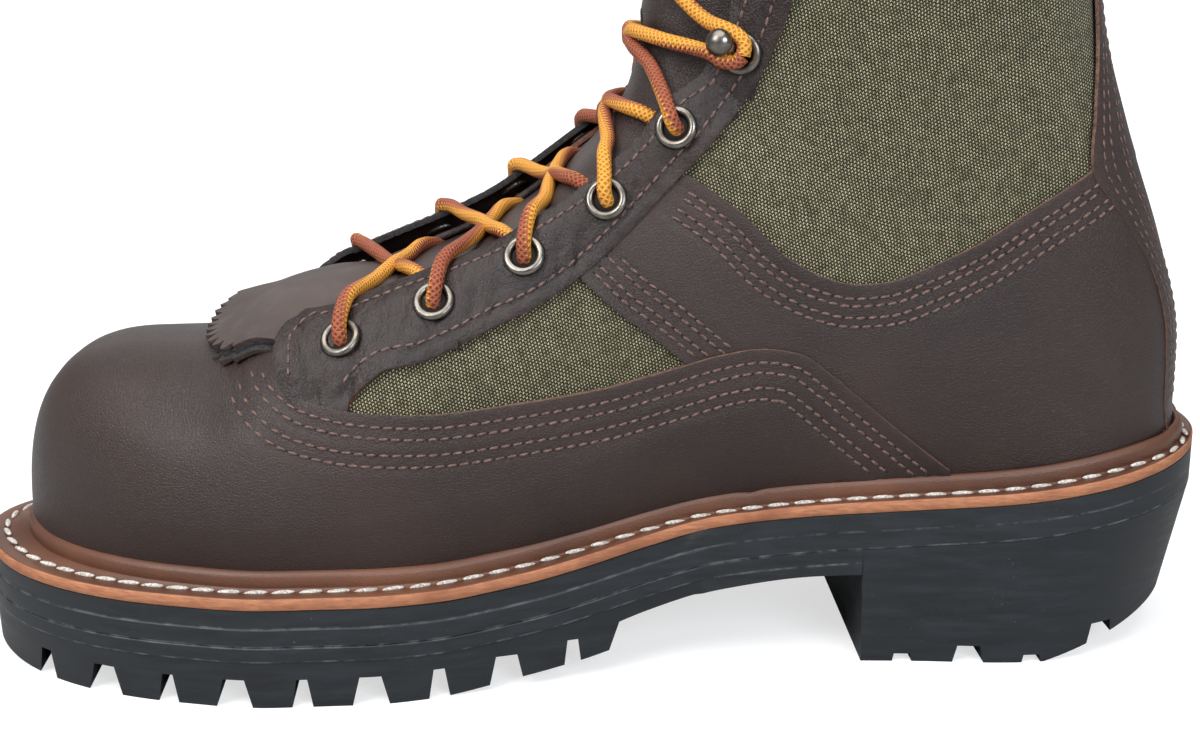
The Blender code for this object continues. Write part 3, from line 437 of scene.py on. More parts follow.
class Finish:
    """A material under construction: short ways to add nodes and join them."""

    def __init__(self, name, roughness, metallic=0.0):
        self.material = bpy.data.materials.new(name)
        self.material.use_nodes = True
        self.tree = self.material.node_tree
        self.shader = self.tree.nodes["Principled BSDF"]
        self.shader.inputs["Roughness"].default_value = roughness
        self.shader.inputs["Metallic"].default_value = metallic

    def add(self, kind, **values):
        node = self.tree.nodes.new(kind)
        for key, value in values.items():
            setattr(node, key, value)
        return node

    def join(self, output, target):
        if isinstance(output, (int, float)):
            target.default_value = output
        elif isinstance(output, tuple):
            target.default_value = output
        else:
            self.tree.links.new(output, target)

    def place(self):
        return self.add("ShaderNodeTexCoord").outputs["Object"]

    def noise(self, vector, scale, detail=4.0, roughness=0.55):
        node = self.add("ShaderNodeTexNoise")
        self.join(vector, node.inputs["Vector"])
        node.inputs["Scale"].default_value = scale
        node.inputs["Detail"].default_value = detail
        node.inputs["Roughness"].default_value = roughness
        return node.outputs["Fac"]

    def math(self, operation, first, second=0.0, third=0.0):
        node = self.add("ShaderNodeMath", operation=operation)
        for value, socket in zip((first, second, third), node.inputs):
            self.join(value, socket)
        return node.outputs[0]

    def span(self, value, low, high, to_low=0.0, to_high=1.0):
        node = self.add("ShaderNodeMapRange")
        self.join(value, node.inputs["Value"])
        for key, number in (("From Min", low), ("From Max", high), ("To Min", to_low), ("To Max", to_high)):
            node.inputs[key].default_value = number
        return node.outputs["Result"]

    def mix(self, share, first, second):
        node = self.add("ShaderNodeMix", data_type="RGBA")
        self.join(share, node.inputs[0])
        self.join(first, node.inputs[6])
        self.join(second, node.inputs[7])
        return node.outputs[2]

    def bump(self, height, strength, distance, under=None):
        node = self.add("ShaderNodeBump")
        node.inputs["Strength"].default_value = strength
        node.inputs["Distance"].default_value = distance
        self.join(height, node.inputs["Height"])
        if under is not None:
            self.join(under, node.inputs["Normal"])
        return node.outputs["Normal"]

    def set(self, socket, value):
        self.join(value, self.shader.inputs[socket])


def new_group(name, inputs, outputs):
    tree = bpy.data.node_groups.new(name, "ShaderNodeTree")
    for label, kind in inputs:
        tree.interface.new_socket(label, in_out="INPUT", socket_type=kind)
    for label, kind in outputs:
        tree.interface.new_socket(label, in_out="OUTPUT", socket_type=kind)
    entry = tree.nodes.new("NodeGroupInput")
    leave = tree.nodes.new("NodeGroupOutput")
    return tree, entry, leave


def hide_grain_group():
    """Leather grain: fine pebbles with pores, and a slow change of tone."""
    tree, entry, leave = new_group(
        "hide_grain",
        [("Vector", "NodeSocketVector"), ("Scale", "NodeSocketFloat")],
        [("Height", "NodeSocketFloat"), ("Tone", "NodeSocketFloat")],
    )
    cells = tree.nodes.new("ShaderNodeTexVoronoi")
    cells.feature = "DISTANCE_TO_EDGE"
    fine = tree.nodes.new("ShaderNodeTexNoise")
    fine.inputs["Detail"].default_value = 6.0
    slow = tree.nodes.new("ShaderNodeTexNoise")
    slow.inputs["Scale"].default_value = 28.0
    slow.inputs["Detail"].default_value = 5.0
    triple = tree.nodes.new("ShaderNodeMath")
    triple.operation = "MULTIPLY"
    triple.inputs[1].default_value = 2.6
    capped = tree.nodes.new("ShaderNodeMath")
    capped.operation = "MINIMUM"
    capped.inputs[1].default_value = 0.16
    total = tree.nodes.new("ShaderNodeMath")
    total.operation = "MULTIPLY_ADD"
    total.inputs[1].default_value = 3.0
    link = tree.links.new
    for node in (cells, fine, slow):
        link(entry.outputs["Vector"], node.inputs["Vector"])
    link(entry.outputs["Scale"], cells.inputs["Scale"])
    link(entry.outputs["Scale"], triple.inputs[0])
    link(triple.outputs[0], fine.inputs["Scale"])
    link(cells.outputs["Distance"], capped.inputs[0])
    link(capped.outputs[0], total.inputs[0])
    link(fine.outputs["Fac"], total.inputs[2])
    link(total.outputs[0], leave.inputs["Height"])
    link(slow.outputs["Fac"], leave.inputs["Tone"])
    return tree


HIDE_GRAIN = hide_grain_group()


def hide_grain(finish, scale):
    node = finish.add("ShaderNodeGroup")
    node.node_tree = HIDE_GRAIN
    finish.join(finish.place(), node.inputs["Vector"])
    node.inputs["Scale"].default_value = scale
    return node.outputs["Height"], node.outputs["Tone"]


def brown_leather():
    made = Finish("brown_leather", 0.4)
    height, tone = hide_grain(made, 1300.0)
    made.set("Base Color", made.mix(made.span(tone, 0.32, 0.68), colour(37, 25, 22), colour(50, 35, 30)))
    made.set("Roughness", made.span(tone, 0.3, 0.7, 0.36, 0.48))
    made.set("Normal", made.bump(height, 0.5, 0.0004))
    made.set("Specular IOR Level", 0.42)
    made.set("Coat Weight", 0.05)
    made.set("Coat Roughness", 0.3)
    return made.material


def creased_leather():
    """The same leather where it is worked by the lacing: fine wrinkles across the eyestay."""
    made = Finish("creased_leather", 0.38)
    height, tone = hide_grain(made, 1300.0)
    drawn = made.add("ShaderNodeMapping")
    made.join(made.place(), drawn.inputs["Vector"])
    drawn.inputs["Rotation"].default_value = (0.0, math.radians(25.0), 0.0)
    drawn.inputs["Scale"].default_value = (1.0, 0.8, 0.6)
    wrinkle = made.noise(drawn.outputs["Vector"], 260.0, 4.0, 0.5)
    made.set("Base Color", made.mix(made.span(tone, 0.32, 0.68), colour(29, 20, 18), colour(40, 28, 25)))
    made.set("Roughness", made.span(tone, 0.3, 0.7, 0.3, 0.42))
    folds = made.bump(made.span(wrinkle, 0.3, 0.7), 0.42, 0.0009)
    made.set("Normal", made.bump(height, 0.34, 0.0003, folds))
    made.set("Specular IOR Level", 0.31)
    return made.material


def flap_leather():
    """Rubbed grey-brown leather of the fringed flap, matter than the rest."""
    made = Finish("flap_leather", 0.58)
    height, tone = hide_grain(made, 1100.0)
    rubbed = made.noise(made.place(), 160.0, 5.0, 0.65)
    base = made.mix(made.span(tone, 0.32, 0.68), colour(52, 42, 40), colour(74, 62, 58))
    made.set("Base Color", made.mix(made.span(rubbed, 0.5, 0.8), base, colour(84, 72, 68)))
    made.set("Normal", made.bump(height, 0.25, 0.0003))
    made.set("Specular IOR Level", 0.4)
    return made.material


def raw_edge(name, dark, light):
    made = Finish(name, 0.85)
    grit = made.noise(made.place(), 900.0, 5.0)
    made.set("Base Color", made.mix(made.span(grit, 0.35, 0.65), dark, light))
    made.set("Normal", made.bump(grit, 0.4, 0.0003))
    return made.material


def dark_suede():
    made = Finish("dark_suede", 0.95)
    nap = made.noise(made.place(), 1400.0, 6.0, 0.7)
    made.set("Base Color", made.mix(made.span(nap, 0.35, 0.65), colour(24, 24, 27), colour(62, 58, 58)))
    made.set("Normal", made.bump(nap, 0.8, 0.0005))
    return made.material


def lining_leather():
    made = Finish("lining_leather", 0.7)
    height, tone = hide_grain(made, 1100.0)
    made.set("Base Color", made.mix(made.span(tone, 0.3, 0.7), colour(140, 110, 82), colour(168, 136, 104)))
    made.set("Normal", made.bump(height, 0.15, 0.0003))
    return made.material


# Nylon: pitches of its yarns in millimetres, and the line in the side view past which the weave
# turns round the back, as its x at the floor in metres and its lean toward the toe per height
WARP_PITCH = 0.42
WEFT_PITCH = 0.70
BACK_BEND = 0.1354
BACK_LEAN = 0.234


def green_nylon():
    """Plain weave of olive yarns along the boot's side and round its back: short floats, and painted shade
    that darkens the gaps.
    """
    made = Finish("green_nylon", 0.7)
    here = made.add("ShaderNodeSeparateXYZ")
    made.join(made.place(), here.inputs["Vector"])
    bend = made.math("MULTIPLY_ADD", here.outputs["Z"], -BACK_LEAN, BACK_BEND)
    past = made.math("MAXIMUM", made.math("SUBTRACT", here.outputs["X"], bend), 0.0)
    out = made.math("ABSOLUTE", here.outputs["Y"])
    past_square = made.math("MULTIPLY", past, past)
    out_square = made.math("MULTIPLY", out, out)
    reach = made.math("SQRT", made.math("ADD", past_square, out_square))
    arc = made.math("MULTIPLY", reach, made.math("ARCTAN2", past, out))
    wrapped = made.add("ShaderNodeCombineXYZ")
    made.join(made.math("ADD", made.math("MINIMUM", here.outputs["X"], bend), arc), wrapped.inputs["X"])
    made.join(here.outputs["Z"], wrapped.inputs["Z"])
    turned = made.add("ShaderNodeMapping")
    made.join(wrapped.outputs["Vector"], turned.inputs["Vector"])
    turned.inputs["Rotation"].default_value = (0.0, math.radians(-21.0), 0.0)
    parts = made.add("ShaderNodeSeparateXYZ")
    made.join(turned.outputs["Vector"], parts.inputs["Vector"])
    sway = made.span(made.noise(made.place(), 150.0, 2.0), 0.3, 0.7, -0.35, 0.35)
    warp = made.math("ADD", made.math("MULTIPLY", parts.outputs["X"], 1.0 / (WARP_PITCH * MM)), sway)
    weft = made.math("ADD", made.math("MULTIPLY", parts.outputs["Z"], 1.0 / (WEFT_PITCH * MM)), sway)
    warp_bow = made.math("ABSOLUTE", made.math("SINE", made.math("MULTIPLY", warp, math.pi)))
    weft_bow = made.math("ABSOLUTE", made.math("SINE", made.math("MULTIPLY", weft, math.pi)))
    cell = made.math("ADD", made.math("FLOOR", warp), made.math("FLOOR", weft))
    under = made.math("ABSOLUTE", made.math("MODULO", cell, 2.0))
    warp_flat = made.math("POWER", warp_bow, 0.5)
    weft_flat = made.math("POWER", weft_bow, 0.35)
    float_high = made.math("MULTIPLY", warp_flat, weft_flat)
    sunk = made.math("MULTIPLY", made.math("MULTIPLY", weft_bow, made.math("POWER", warp_bow, 0.4)), 0.62)
    picked = made.add("ShaderNodeMix", data_type="FLOAT")
    made.join(under, picked.inputs[0])
    made.join(float_high, picked.inputs[2])
    made.join(sunk, picked.inputs[3])
    height = picked.outputs[0]
    uneven = made.noise(made.place(), 520.0, 3.0)
    yarn = made.mix(made.span(uneven, 0.32, 0.68), colour(130, 124, 88), colour(186, 178, 138))
    # Painted shade: the weave's height also sets its colour, lighter on the yarns' crowns, darker on the
    # sunk yarns and near black in the gaps
    made.set("Base Color", made.mix(made.span(height, 0.46, 0.88), colour(8, 8, 4), yarn))
    made.set("Normal", made.bump(height, 0.7, 0.0003))
    made.set("Specular IOR Level", 0.3)
    made.set("Sheen Weight", 0.08)
    return made.material


def thread(name, dark, light):
    made = Finish(name, 0.6)
    twist = made.noise(made.place(), 1800.0, 3.0)
    made.set("Base Color", made.mix(made.span(twist, 0.35, 0.65), dark, light))
    made.set("Normal", made.bump(twist, 0.5, 0.0002))
    return made.material


def welt_leather():
    made = Finish("welt_leather", 0.45)
    height, tone = hide_grain(made, 900.0)
    made.set("Base Color", made.mix(made.span(tone, 0.3, 0.7), colour(74, 45, 32), colour(106, 67, 47)))
    made.set("Normal", made.bump(height, 0.2, 0.0003))
    made.set("Specular IOR Level", 0.45)
    return made.material


def welt_edge():
    """Cut edge of the welt: tan fibres that run along it, darker in places."""
    made = Finish("welt_edge", 0.7)
    spread = made.add("ShaderNodeMapping")
    made.join(made.place(), spread.inputs["Vector"])
    spread.inputs["Scale"].default_value = (1.0, 1.0, 6.0)
    fibre = made.noise(spread.outputs["Vector"], 260.0, 8.0, 0.7)
    stain = made.noise(made.place(), 45.0, 4.0)
    tan = made.mix(made.span(fibre, 0.3, 0.7), colour(132, 79, 52), colour(178, 119, 82))
    made.set("Base Color", made.mix(made.span(stain, 0.52, 0.75), tan, colour(120, 68, 44)))
    made.set("Normal", made.bump(fibre, 0.5, 0.0004))
    return made.material


def black_rubber():
    """Moulded rubber: satin black with a blue cast, pale dust, scuffs, and thin pale lines of painted
    highlight along the sole's step edges.
    """
    made = Finish("black_rubber", 0.5)
    speck = made.noise(made.place(), 1500.0, 2.0)
    where = made.noise(made.place(), 70.0, 5.0, 0.7)
    dust = made.math("MULTIPLY", made.span(speck, 0.7, 0.78), made.span(where, 0.5, 0.7))
    streaked = made.add("ShaderNodeMapping")
    made.join(made.place(), streaked.inputs["Vector"])
    streaked.inputs["Scale"].default_value = (1.0, 1.0, 7.0)
    scuff = made.noise(streaked.outputs["Vector"], 60.0, 8.0, 0.7)
    base = made.mix(made.span(scuff, 0.35, 0.75), colour(17, 20, 23), colour(34, 39, 43))
    # Painted highlight: broken pale lines along the edges of the steps between the sole's layers
    line = made.add("ShaderNodeAttribute", attribute_name="step_edge_highlight")
    highlight_breaks = made.span(made.noise(made.place(), 240.0, 4.0), 0.45, 0.62)
    dashed_edge_highlight = made.math("MULTIPLY", line.outputs["Fac"], highlight_breaks)
    pale = made.math("MAXIMUM", made.math("MULTIPLY", dust, 0.55), made.math("MULTIPLY", dashed_edge_highlight, 0.22))
    made.set("Base Color", made.mix(pale, base, colour(150, 154, 156)))
    made.set("Roughness", made.span(scuff, 0.3, 0.7, 0.42, 0.62))
    skin = made.noise(made.place(), 1100.0, 4.0)
    made.set("Normal", made.bump(skin, 0.12, 0.0003))
    made.set("Specular IOR Level", 0.4)
    return made.material


def nickel():
    made = Finish("nickel", 0.3, 1.0)
    tarnish = made.noise(made.place(), 320.0, 5.0)
    dulled = made.span(tarnish, 0.4, 0.75)
    made.set("Base Color", made.mix(dulled, colour(124, 119, 112), colour(76, 71, 65)))
    made.set("Roughness", made.span(tarnish, 0.3, 0.7, 0.22, 0.4))
    return made.material


PLAITS_ROUND = 6.0


def lace_braid():
    """Round braid, gold on one half and red-brown on the other, with a saw-toothed border and painted
    highlight and shade on its plaits.
    """
    made = Finish("lace_braid", 0.62)
    mapped = made.add("ShaderNodeUVMap", uv_map="UVMap")
    parts = made.add("ShaderNodeSeparateXYZ")
    made.join(mapped.outputs["UV"], parts.inputs["Vector"])
    run = parts.outputs["X"]
    turn = parts.outputs["Y"]
    saw = made.math("SUBTRACT", made.math("FRACT", run), 0.5)
    edge = made.math("FRACT", made.math("ADD", turn, made.math("MULTIPLY", saw, 0.16)))
    gold_half = made.math("LESS_THAN", edge, 0.45)
    round_it = made.math("MULTIPLY", turn, PLAITS_ROUND)
    left = made.math("SINE", made.math("MULTIPLY", made.math("ADD", run, round_it), 2.0 * math.pi))
    right = made.math("SINE", made.math("MULTIPLY", made.math("SUBTRACT", run, round_it), 2.0 * math.pi))
    plait = made.math("MAXIMUM", left, right)
    fleck = made.noise(made.place(), 1500.0, 3.0)
    # Painted highlight and shade: each half is lighter on the plaits' crowns and darker in the hollows
    # between them
    gold = made.mix(made.span(plait, -0.6, 0.9), colour(176, 108, 28), colour(224, 158, 56))
    russet = made.mix(made.span(plait, -0.6, 0.9), colour(104, 46, 26), colour(156, 80, 48))
    shade = made.mix(gold_half, russet, gold)
    made.set("Base Color", made.mix(made.span(fleck, 0.64, 0.9), shade, colour(238, 190, 110)))
    made.set("Normal", made.bump(plait, 0.6, 0.0004))
    return made.material


# Near-black painted shade for the insides of holes and slits
def hole_shade():
    made = Finish("hole_shade", 0.9)
    shade = made.noise(made.place(), 300.0)
    made.set("Base Color", made.mix(shade, (0.004, 0.003, 0.003, 1.0), (0.012, 0.009, 0.008, 1.0)))
    return made.material


LEATHER = brown_leather()
CREASED = creased_leather()
FLAP = flap_leather()
EDGE = raw_edge("raw_leather_edge", colour(74, 52, 43), colour(116, 84, 69))
# The flap's cut edge is dark partly in its own colour and partly as painted shade, so the slits between the
# fringe's teeth look shaded
FLAP_EDGE = raw_edge("flap_edge", colour(34, 26, 23), colour(72, 55, 47))
RUSSET_EDGE = raw_edge("russet_edge", colour(66, 38, 30), colour(106, 66, 52))
SUEDE = dark_suede()
LINING = lining_leather()
NYLON = green_nylon()
PANEL_THREAD = thread("panel_thread", colour(58, 40, 36), colour(118, 90, 82))
WELT_THREAD = thread("welt_thread", colour(140, 130, 120), colour(214, 208, 200))
KEEPER_THREAD = thread("keeper_thread", colour(18, 16, 16), colour(46, 42, 42))
WELT = welt_leather()
WELT_EDGE = welt_edge()
RUBBER = black_rubber()
NICKEL = nickel()
BRAID = lace_braid()
HOLE_SHADE = hole_shade()


# Making pieces

def show_mesh(name, mesh, skins, nodes=()):
    """Object of a mesh, on the boot's body, standing for the nodes it replaces."""
    mesh.shade_smooth()
    for skin in skins:
        mesh.materials.append(skin)
    made = bpy.data.objects.new(name, mesh)
    bpy.context.scene.collection.objects.link(made)
    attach(made, "root")
    if nodes:
        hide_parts(*nodes)
    return made


def finish_piece(name, bm, skins, nodes=()):
    mesh = bpy.data.meshes.new(name)
    bm.to_mesh(mesh)
    bm.free()
    return show_mesh(name, mesh, skins, nodes)


SOFT_ANGLE = math.radians(50.0)


def wall(piece, thickness, offset, inner_slot=0, rim_slot=1):
    solid = piece.modifiers.new("wall", "SOLIDIFY")
    solid.thickness = thickness * MM
    solid.offset = offset
    solid.material_offset = inner_slot
    solid.material_offset_rim = rim_slot


def soften(piece, width):
    bevel = piece.modifiers.new("soft_edges", "BEVEL")
    bevel.width = width * MM
    bevel.segments = 2
    bevel.limit_method = "ANGLE"
    bevel.angle_limit = SOFT_ANGLE
    bevel.profile = 0.5
    bevel.material = -1


def grid_sheet(bm, rows, columns, table):
    """Grid whose vertex at row i and column j lies at table[i, j]."""
    made = bmesh.ops.create_grid(bm, x_segments=rows - 1, y_segments=columns - 1, size=1.0)
    for vertex in made["verts"]:
        i = round((vertex.co.x + 1.0) / 2.0 * (rows - 1))
        j = round((vertex.co.y + 1.0) / 2.0 * (columns - 1))
        vertex.co = place(table[i, j])


HEEL_SMOOTH_X = 96.0
HEEL_SMOOTH_Z = 122.0
HEEL_SMOOTH_TURNS = 20


def even_rows(first, last, pitch):
    """Section rows so close that no two are further apart than a pitch."""
    rows = np.linspace(first, last, 700)
    lines = np.array([last_row(u, -1, np.array([0.02, 0.3, 0.65, 1.0])) for u in rows])
    steps = np.linalg.norm(np.diff(lines, axis=0), axis=2)
    steps = 0.35 * steps.max(axis=1) + 0.65 * steps.mean(axis=1)
    run = np.concatenate([[0.0], np.cumsum(steps)])
    return np.interp(np.linspace(0.0, run[-1], int(run[-1] / pitch) + 2), run, rows)


def last_sheet(bm, rows, columns):
    """Both sides of the upper's outer face, joined where they meet at toe, crest and back."""
    shares = 0.5 - 0.5 * np.cos(np.pi * np.linspace(0.0, 1.0, columns))
    shares = 0.45 * shares + 0.55 * np.linspace(0.0, 1.0, columns)
    for side in (-1, 1):
        table = np.array([last_row(u, side, shares) for u in rows])
        grid_sheet(bm, len(rows), columns, table)
    bmesh.ops.remove_doubles(bm, verts=bm.verts, dist=0.02 * MM)
    bmesh.ops.dissolve_degenerate(bm, dist=0.01 * MM, edges=bm.edges)
    even_heel(bm)
    bmesh.ops.recalc_face_normals(bm, faces=bm.faces)


def even_heel(bm):
    """Spread out the rows that crowd together where the fan of sections turns round the heel."""
    crowded = []
    for vertex in bm.verts:
        x, _, z = boot_point(vertex.co)
        if x > HEEL_SMOOTH_X and z < HEEL_SMOOTH_Z and not vertex.is_boundary:
            crowded.append(vertex)
    for _ in range(HEEL_SMOOTH_TURNS):
        bmesh.ops.smooth_vert(
            bm, verts=crowded, factor=0.5, use_axis_x=True, use_axis_y=True, use_axis_z=True
        )


def trim_sheet(bm, field):
    """Cut a sheet along the zero line of a field and keep where it is positive."""
    value = dict(zip(bm.verts, field))
    crossed = []
    for face in bm.faces:
        at_corners = [value[vertex] for vertex in face.verts]
        if min(at_corners) <= 0.0 < max(at_corners):
            crossed.append(face)
    bmesh.ops.triangulate(bm, faces=crossed)
    cut = set()
    for edge in list(bm.edges):
        first, second = edge.verts
        if first in cut or second in cut or (value[first] > 0.0) == (value[second] > 0.0):
            continue
        share = value[first] / (value[first] - value[second])
        _, made = bmesh.utils.edge_split(edge, first, min(max(share, 0.02), 0.98))
        cut.add(made)
    for face in {face for vertex in cut for face in vertex.link_faces}:
        ends = [vertex for vertex in face.verts if vertex in cut]
        if len(ends) == 2:
            bmesh.utils.face_split(face, ends[0], ends[1])
    outside = [face for face in bm.faces if min(value.get(v, 0.0) for v in face.verts) < 0.0]
    bmesh.ops.delete(bm, geom=outside, context="FACES")


def raise_sheet(bm, height):
    """Move a sheet out along its normals; height gives millimetres for an array of places."""
    bm.normal_update()
    verts = list(bm.verts)
    for vertex, up in zip(verts, height(boot_points(verts))):
        vertex.co += vertex.normal * float(up) * MM


def swell_noise(points, size, depth):
    """Slow unevenness of leather that has been pulled over a last."""
    return np.array([noise.noise(Vector(p) / size) for p in points]) * depth


# Stitches

class Stitching:
    """Stitches of one thread, gathered as places and turned into one mesh."""

    def __init__(self, length, width, high):
        bm = bmesh.new()
        bmesh.ops.create_uvsphere(bm, u_segments=8, v_segments=5, radius=0.5)
        bmesh.ops.rotate(bm, verts=bm.verts, cent=(0, 0, 0), matrix=Matrix.Rotation(math.pi / 2.0, 3, "Y"))
        bmesh.ops.scale(bm, verts=bm.verts, vec=Vector((length, width, high)) * MM)
        bm.verts.index_update()
        self.shape = np.array([v.co for v in bm.verts])
        self.faces = [[v.index for v in face.verts] for face in bm.faces]
        bm.free()
        self.places = []

    def put(self, place_at, ahead, normal, slant=0.0):
        normal = normal.normalized()
        ahead = (ahead - normal * ahead.dot(normal)).normalized()
        turn = Matrix((ahead, normal.cross(ahead), normal)).transposed()
        turn = turn @ Matrix.Rotation(slant, 3, "Z")
        self.places.append((np.array(turn), np.array(place_at)))

    def make(self, name, skin):
        shapes = np.concatenate([self.shape @ turn.T + at for turn, at in self.places])
        count = len(self.shape)
        starts = range(0, count * len(self.places), count)
        faces = [[start + k for k in face] for start in starts for face in self.faces]
        mesh = bpy.data.meshes.new(name)
        mesh.from_pydata(shapes.tolist(), [], faces)
        show_mesh(name, mesh, [skin])


STITCH_PITCH = 2.75
STITCH_SLANT = 0.1
SEAM_BREAK = 4.0 * STITCH_PITCH
NEAR_PANEL = 7.0
PAST_SIDE_Y = 140.0
SIDE_FACING = 0.12
panel_stitches = Stitching(2.3, 0.78, 0.75)
# Dark marks of painted shade where the needle holes are
needle_hole_shades = Stitching(0.75, 0.7, 0.3)


def sew(spots):
    """Row of stitches with a needle hole at each end, drawn as a dark mark of painted shade, through places
    given with their normals.
    """
    for before, now, after in zip(spots, spots[1:], spots[2:]):
        if not (before and now and after) or (after[0] - before[0]).length > SEAM_BREAK * MM:
            continue
        ahead = after[0] - before[0]
        panel_stitches.put(now[0], ahead, now[1], STITCH_SLANT)
        needle_hole_shades.put((now[0] + after[0]) / 2.0 - now[1] * 0.05 * MM, ahead, now[1])


def sew_side(tree, path, side, lift):
    """Row along a side-view path on the outer face of a panel."""
    spots = []
    for x, z in spaced(path, STITCH_PITCH):
        hit, normal, _, _ = tree.ray_cast(place((x, PAST_SIDE_Y * side, z)), Vector((0.0, -side, 0.0)))
        good = hit is not None and normal.y * side > SIDE_FACING
        spots.append((hit + normal * lift * MM, normal) if good else None)
    sew(spots)


def sew_near(tree, line, lift):
    """Row along a line in space, laid on the nearest face of a panel."""
    spots = []
    for point in spaced(line, STITCH_PITCH):
        hit, normal, _, away = tree.find_nearest(place(point))
        spots.append((hit + normal * lift * MM, normal) if away < NEAR_PANEL * MM else None)
    sew(spots)



# Leather panels

vamp_curve = rounded(VAMP_EDGE)
quarter_top = rounded(QUARTER_TOP)
quarter_front = rounded(QUARTER_FRONT)
eyestay_low = rounded(EYESTAY_LOW)
eyestay_front = rounded(EYESTAY_FRONT)
vamp_rows = [beside(vamp_curve, offset) for offset in (3.2, 5.7, 9.3, 12.0)]
quarter_rows = [beside(quarter_top, offset) for offset in (3.3, 5.1, 7.9, 10.0)]
front_run = np.vstack([[(25.0, 70.9)], quarter_front])
front_rows = [beside(front_run, offset) for offset in (2.6, 4.6, 7.4, 9.4)]
GROOVE_DEPTH = 0.35
GROOVE_WIDTH = 0.9


def grooves(points, paths):
    """Depth pressed in along stitch rows."""
    flat = points[:, [0, 2]]
    total = np.zeros(len(points))
    for path in paths:
        total = np.maximum(total, np.exp(-((path_distance(flat, path) / GROOVE_WIDTH) ** 2)))
    return GROOVE_DEPTH * total


def make_panel(name, rows, columns, field, height, thickness, rim=EDGE, skin=LEATHER):
    """Leather panel on the upper, with its raw cut edge. Returns the faces to stitch on."""
    bm = bmesh.new()
    last_sheet(bm, rows, columns)
    trim_sheet(bm, field(boot_points(list(bm.verts))))
    raise_sheet(bm, height)
    tree = BVHTree.FromBMesh(bm)
    panel = finish_piece(name + "_leather", bm, [skin, rim], [name])
    wall(panel, thickness, 1.0)
    soften(panel, 0.35)
    return tree


LEATHER_FLOOR = FIT_GAP - SKIN_DROP
VAMP_THICK = 2.0
QUARTER_THICK = 1.2
EYESTAY_THICK = 1.5
BACKSTAY_THICK = 0.9
BACKSTAY_LIFT = 0.6
BACKSTAY_FROM_X = 85.0
BACKSTAY_SEAMS = (3.0, 4.8, 8.6, 10.4)
BACKSTAY_SEAM_Z = (60.0, 248.0)
BEHIND_X = 190.0


def make_vamp():
    over_toe = [(-PAST_ENDS_X, 120.0), (VAMP_EDGE[0][0], 120.0)]
    outline = np.vstack([over_toe, vamp_curve, rib_line(VAMP_EDGE[-1][0], -PAST_ENDS_X)])

    def field(points):
        return region_field(points[:, [0, 2]], outline)

    def height(points):
        return LEATHER_FLOOR + swell_noise(points, 26.0, 0.3) - grooves(points, vamp_rows)

    tree = make_panel("vamp", even_rows(0.0, 8.6, 1.3), 84, field, height, VAMP_THICK)
    for side in (-1, 1):
        for path in vamp_rows:
            sew_side(tree, path, side, VAMP_THICK)


def backstay_half(z):
    return smooth_curve([row.z for row in BACKSTAY], [row.half for row in BACKSTAY], z)


def make_quarters():
    under_vamp = beside(vamp_curve[vamp_curve[:, 0] > 17.5], 2.0)
    under_eyestay = [(-10.0, 94.0), (13.0, 117.0)]
    low_edge = np.vstack([[(17.0, 74.0)], under_vamp, rib_line(83.0, PAST_ENDS_X)])
    outline = np.vstack([low_edge, quarter_top[::-1], under_eyestay[::-1], quarter_front[::-1]])
    rows = even_rows(4.6, 12.6, 1.5)
    seams = quarter_rows + front_rows
    for side, word in SIDES:

        def field(points):
            region = region_field(points[:, [0, 2]], outline)
            tuck = np.where(points[:, 0] < BACKSTAY_FROM_X, 60.0, 2.0)
            behind = np.abs(points[:, 1]) - backstay_half(points[:, 2]) + tuck
            return np.minimum(np.minimum(region, behind), points[:, 1] * side)

        def height(points):
            return LEATHER_FLOOR + swell_noise(points, 22.0, 0.3) - grooves(points, seams)

        tree = make_panel(f"quarter_{word}", rows, 76, field, height, QUARTER_THICK)
        for path in seams:
            sew_side(tree, path, side, QUARTER_THICK)


def smooth_step(value):
    value = np.clip(value, 0.0, 1.0)
    return value * value * (3.0 - 2.0 * value)


# Height of the fringed flap over the last, by section row and by the crest's place along the boot
KiltieTop = namedtuple("KiltieTop", "row x high")
KILTIE_TOP = [
    KiltieTop(1.8, -103.0, 1.8),
    KiltieTop(1.95, -97.0, 2.0),
    KiltieTop(2.27, -91.0, 2.8),
    KiltieTop(2.55, -85.5, 2.7),
    KiltieTop(2.75, -81.7, 2.4),
    KiltieTop(3.0, -77.0, 1.8),
    KiltieTop(3.26, -72.0, 0.8),
    KiltieTop(3.6, -66.0, -0.8),
    KiltieTop(4.0, -57.0, -4.0),
    KiltieTop(4.3, -46.0, -9.0),
]
KILTIE_MIDDLE_Y = 0.2

# Creases across the eyestay in the side view, each from one end to the other as (x, z)
CREASES = (
    ((-71.0, 86.0), (-67.5, 72.0)), ((-57.0, 81.0), (-60.0, 72.0)), ((-40.0, 86.0), (-36.0, 99.0)),
    ((-66.0, 79.0), (-63.0, 89.0)), ((-52.0, 84.0), (-51.0, 93.0)), ((-49.0, 83.5), (-45.5, 96.0)),
    ((-31.0, 90.0), (-29.0, 101.0)), ((-27.0, 90.0), (-23.0, 103.0)), ((-11.0, 98.0), (-11.0, 109.0)),
    ((-7.0, 100.0), (-4.0, 113.0)), ((5.0, 113.0), (8.0, 121.0)), ((14.0, 121.0), (21.0, 134.0)),
    ((24.0, 132.0), (27.0, 142.0)), ((33.0, 146.0), (36.0, 160.0)),
)
CREASE_DEPTH = 0.75
CREASE_WIDTH = 1.4
CREASE_LIMIT = 1.3
KILTIE_ROOM = 0.8
KILTIE_FADE = 13.0


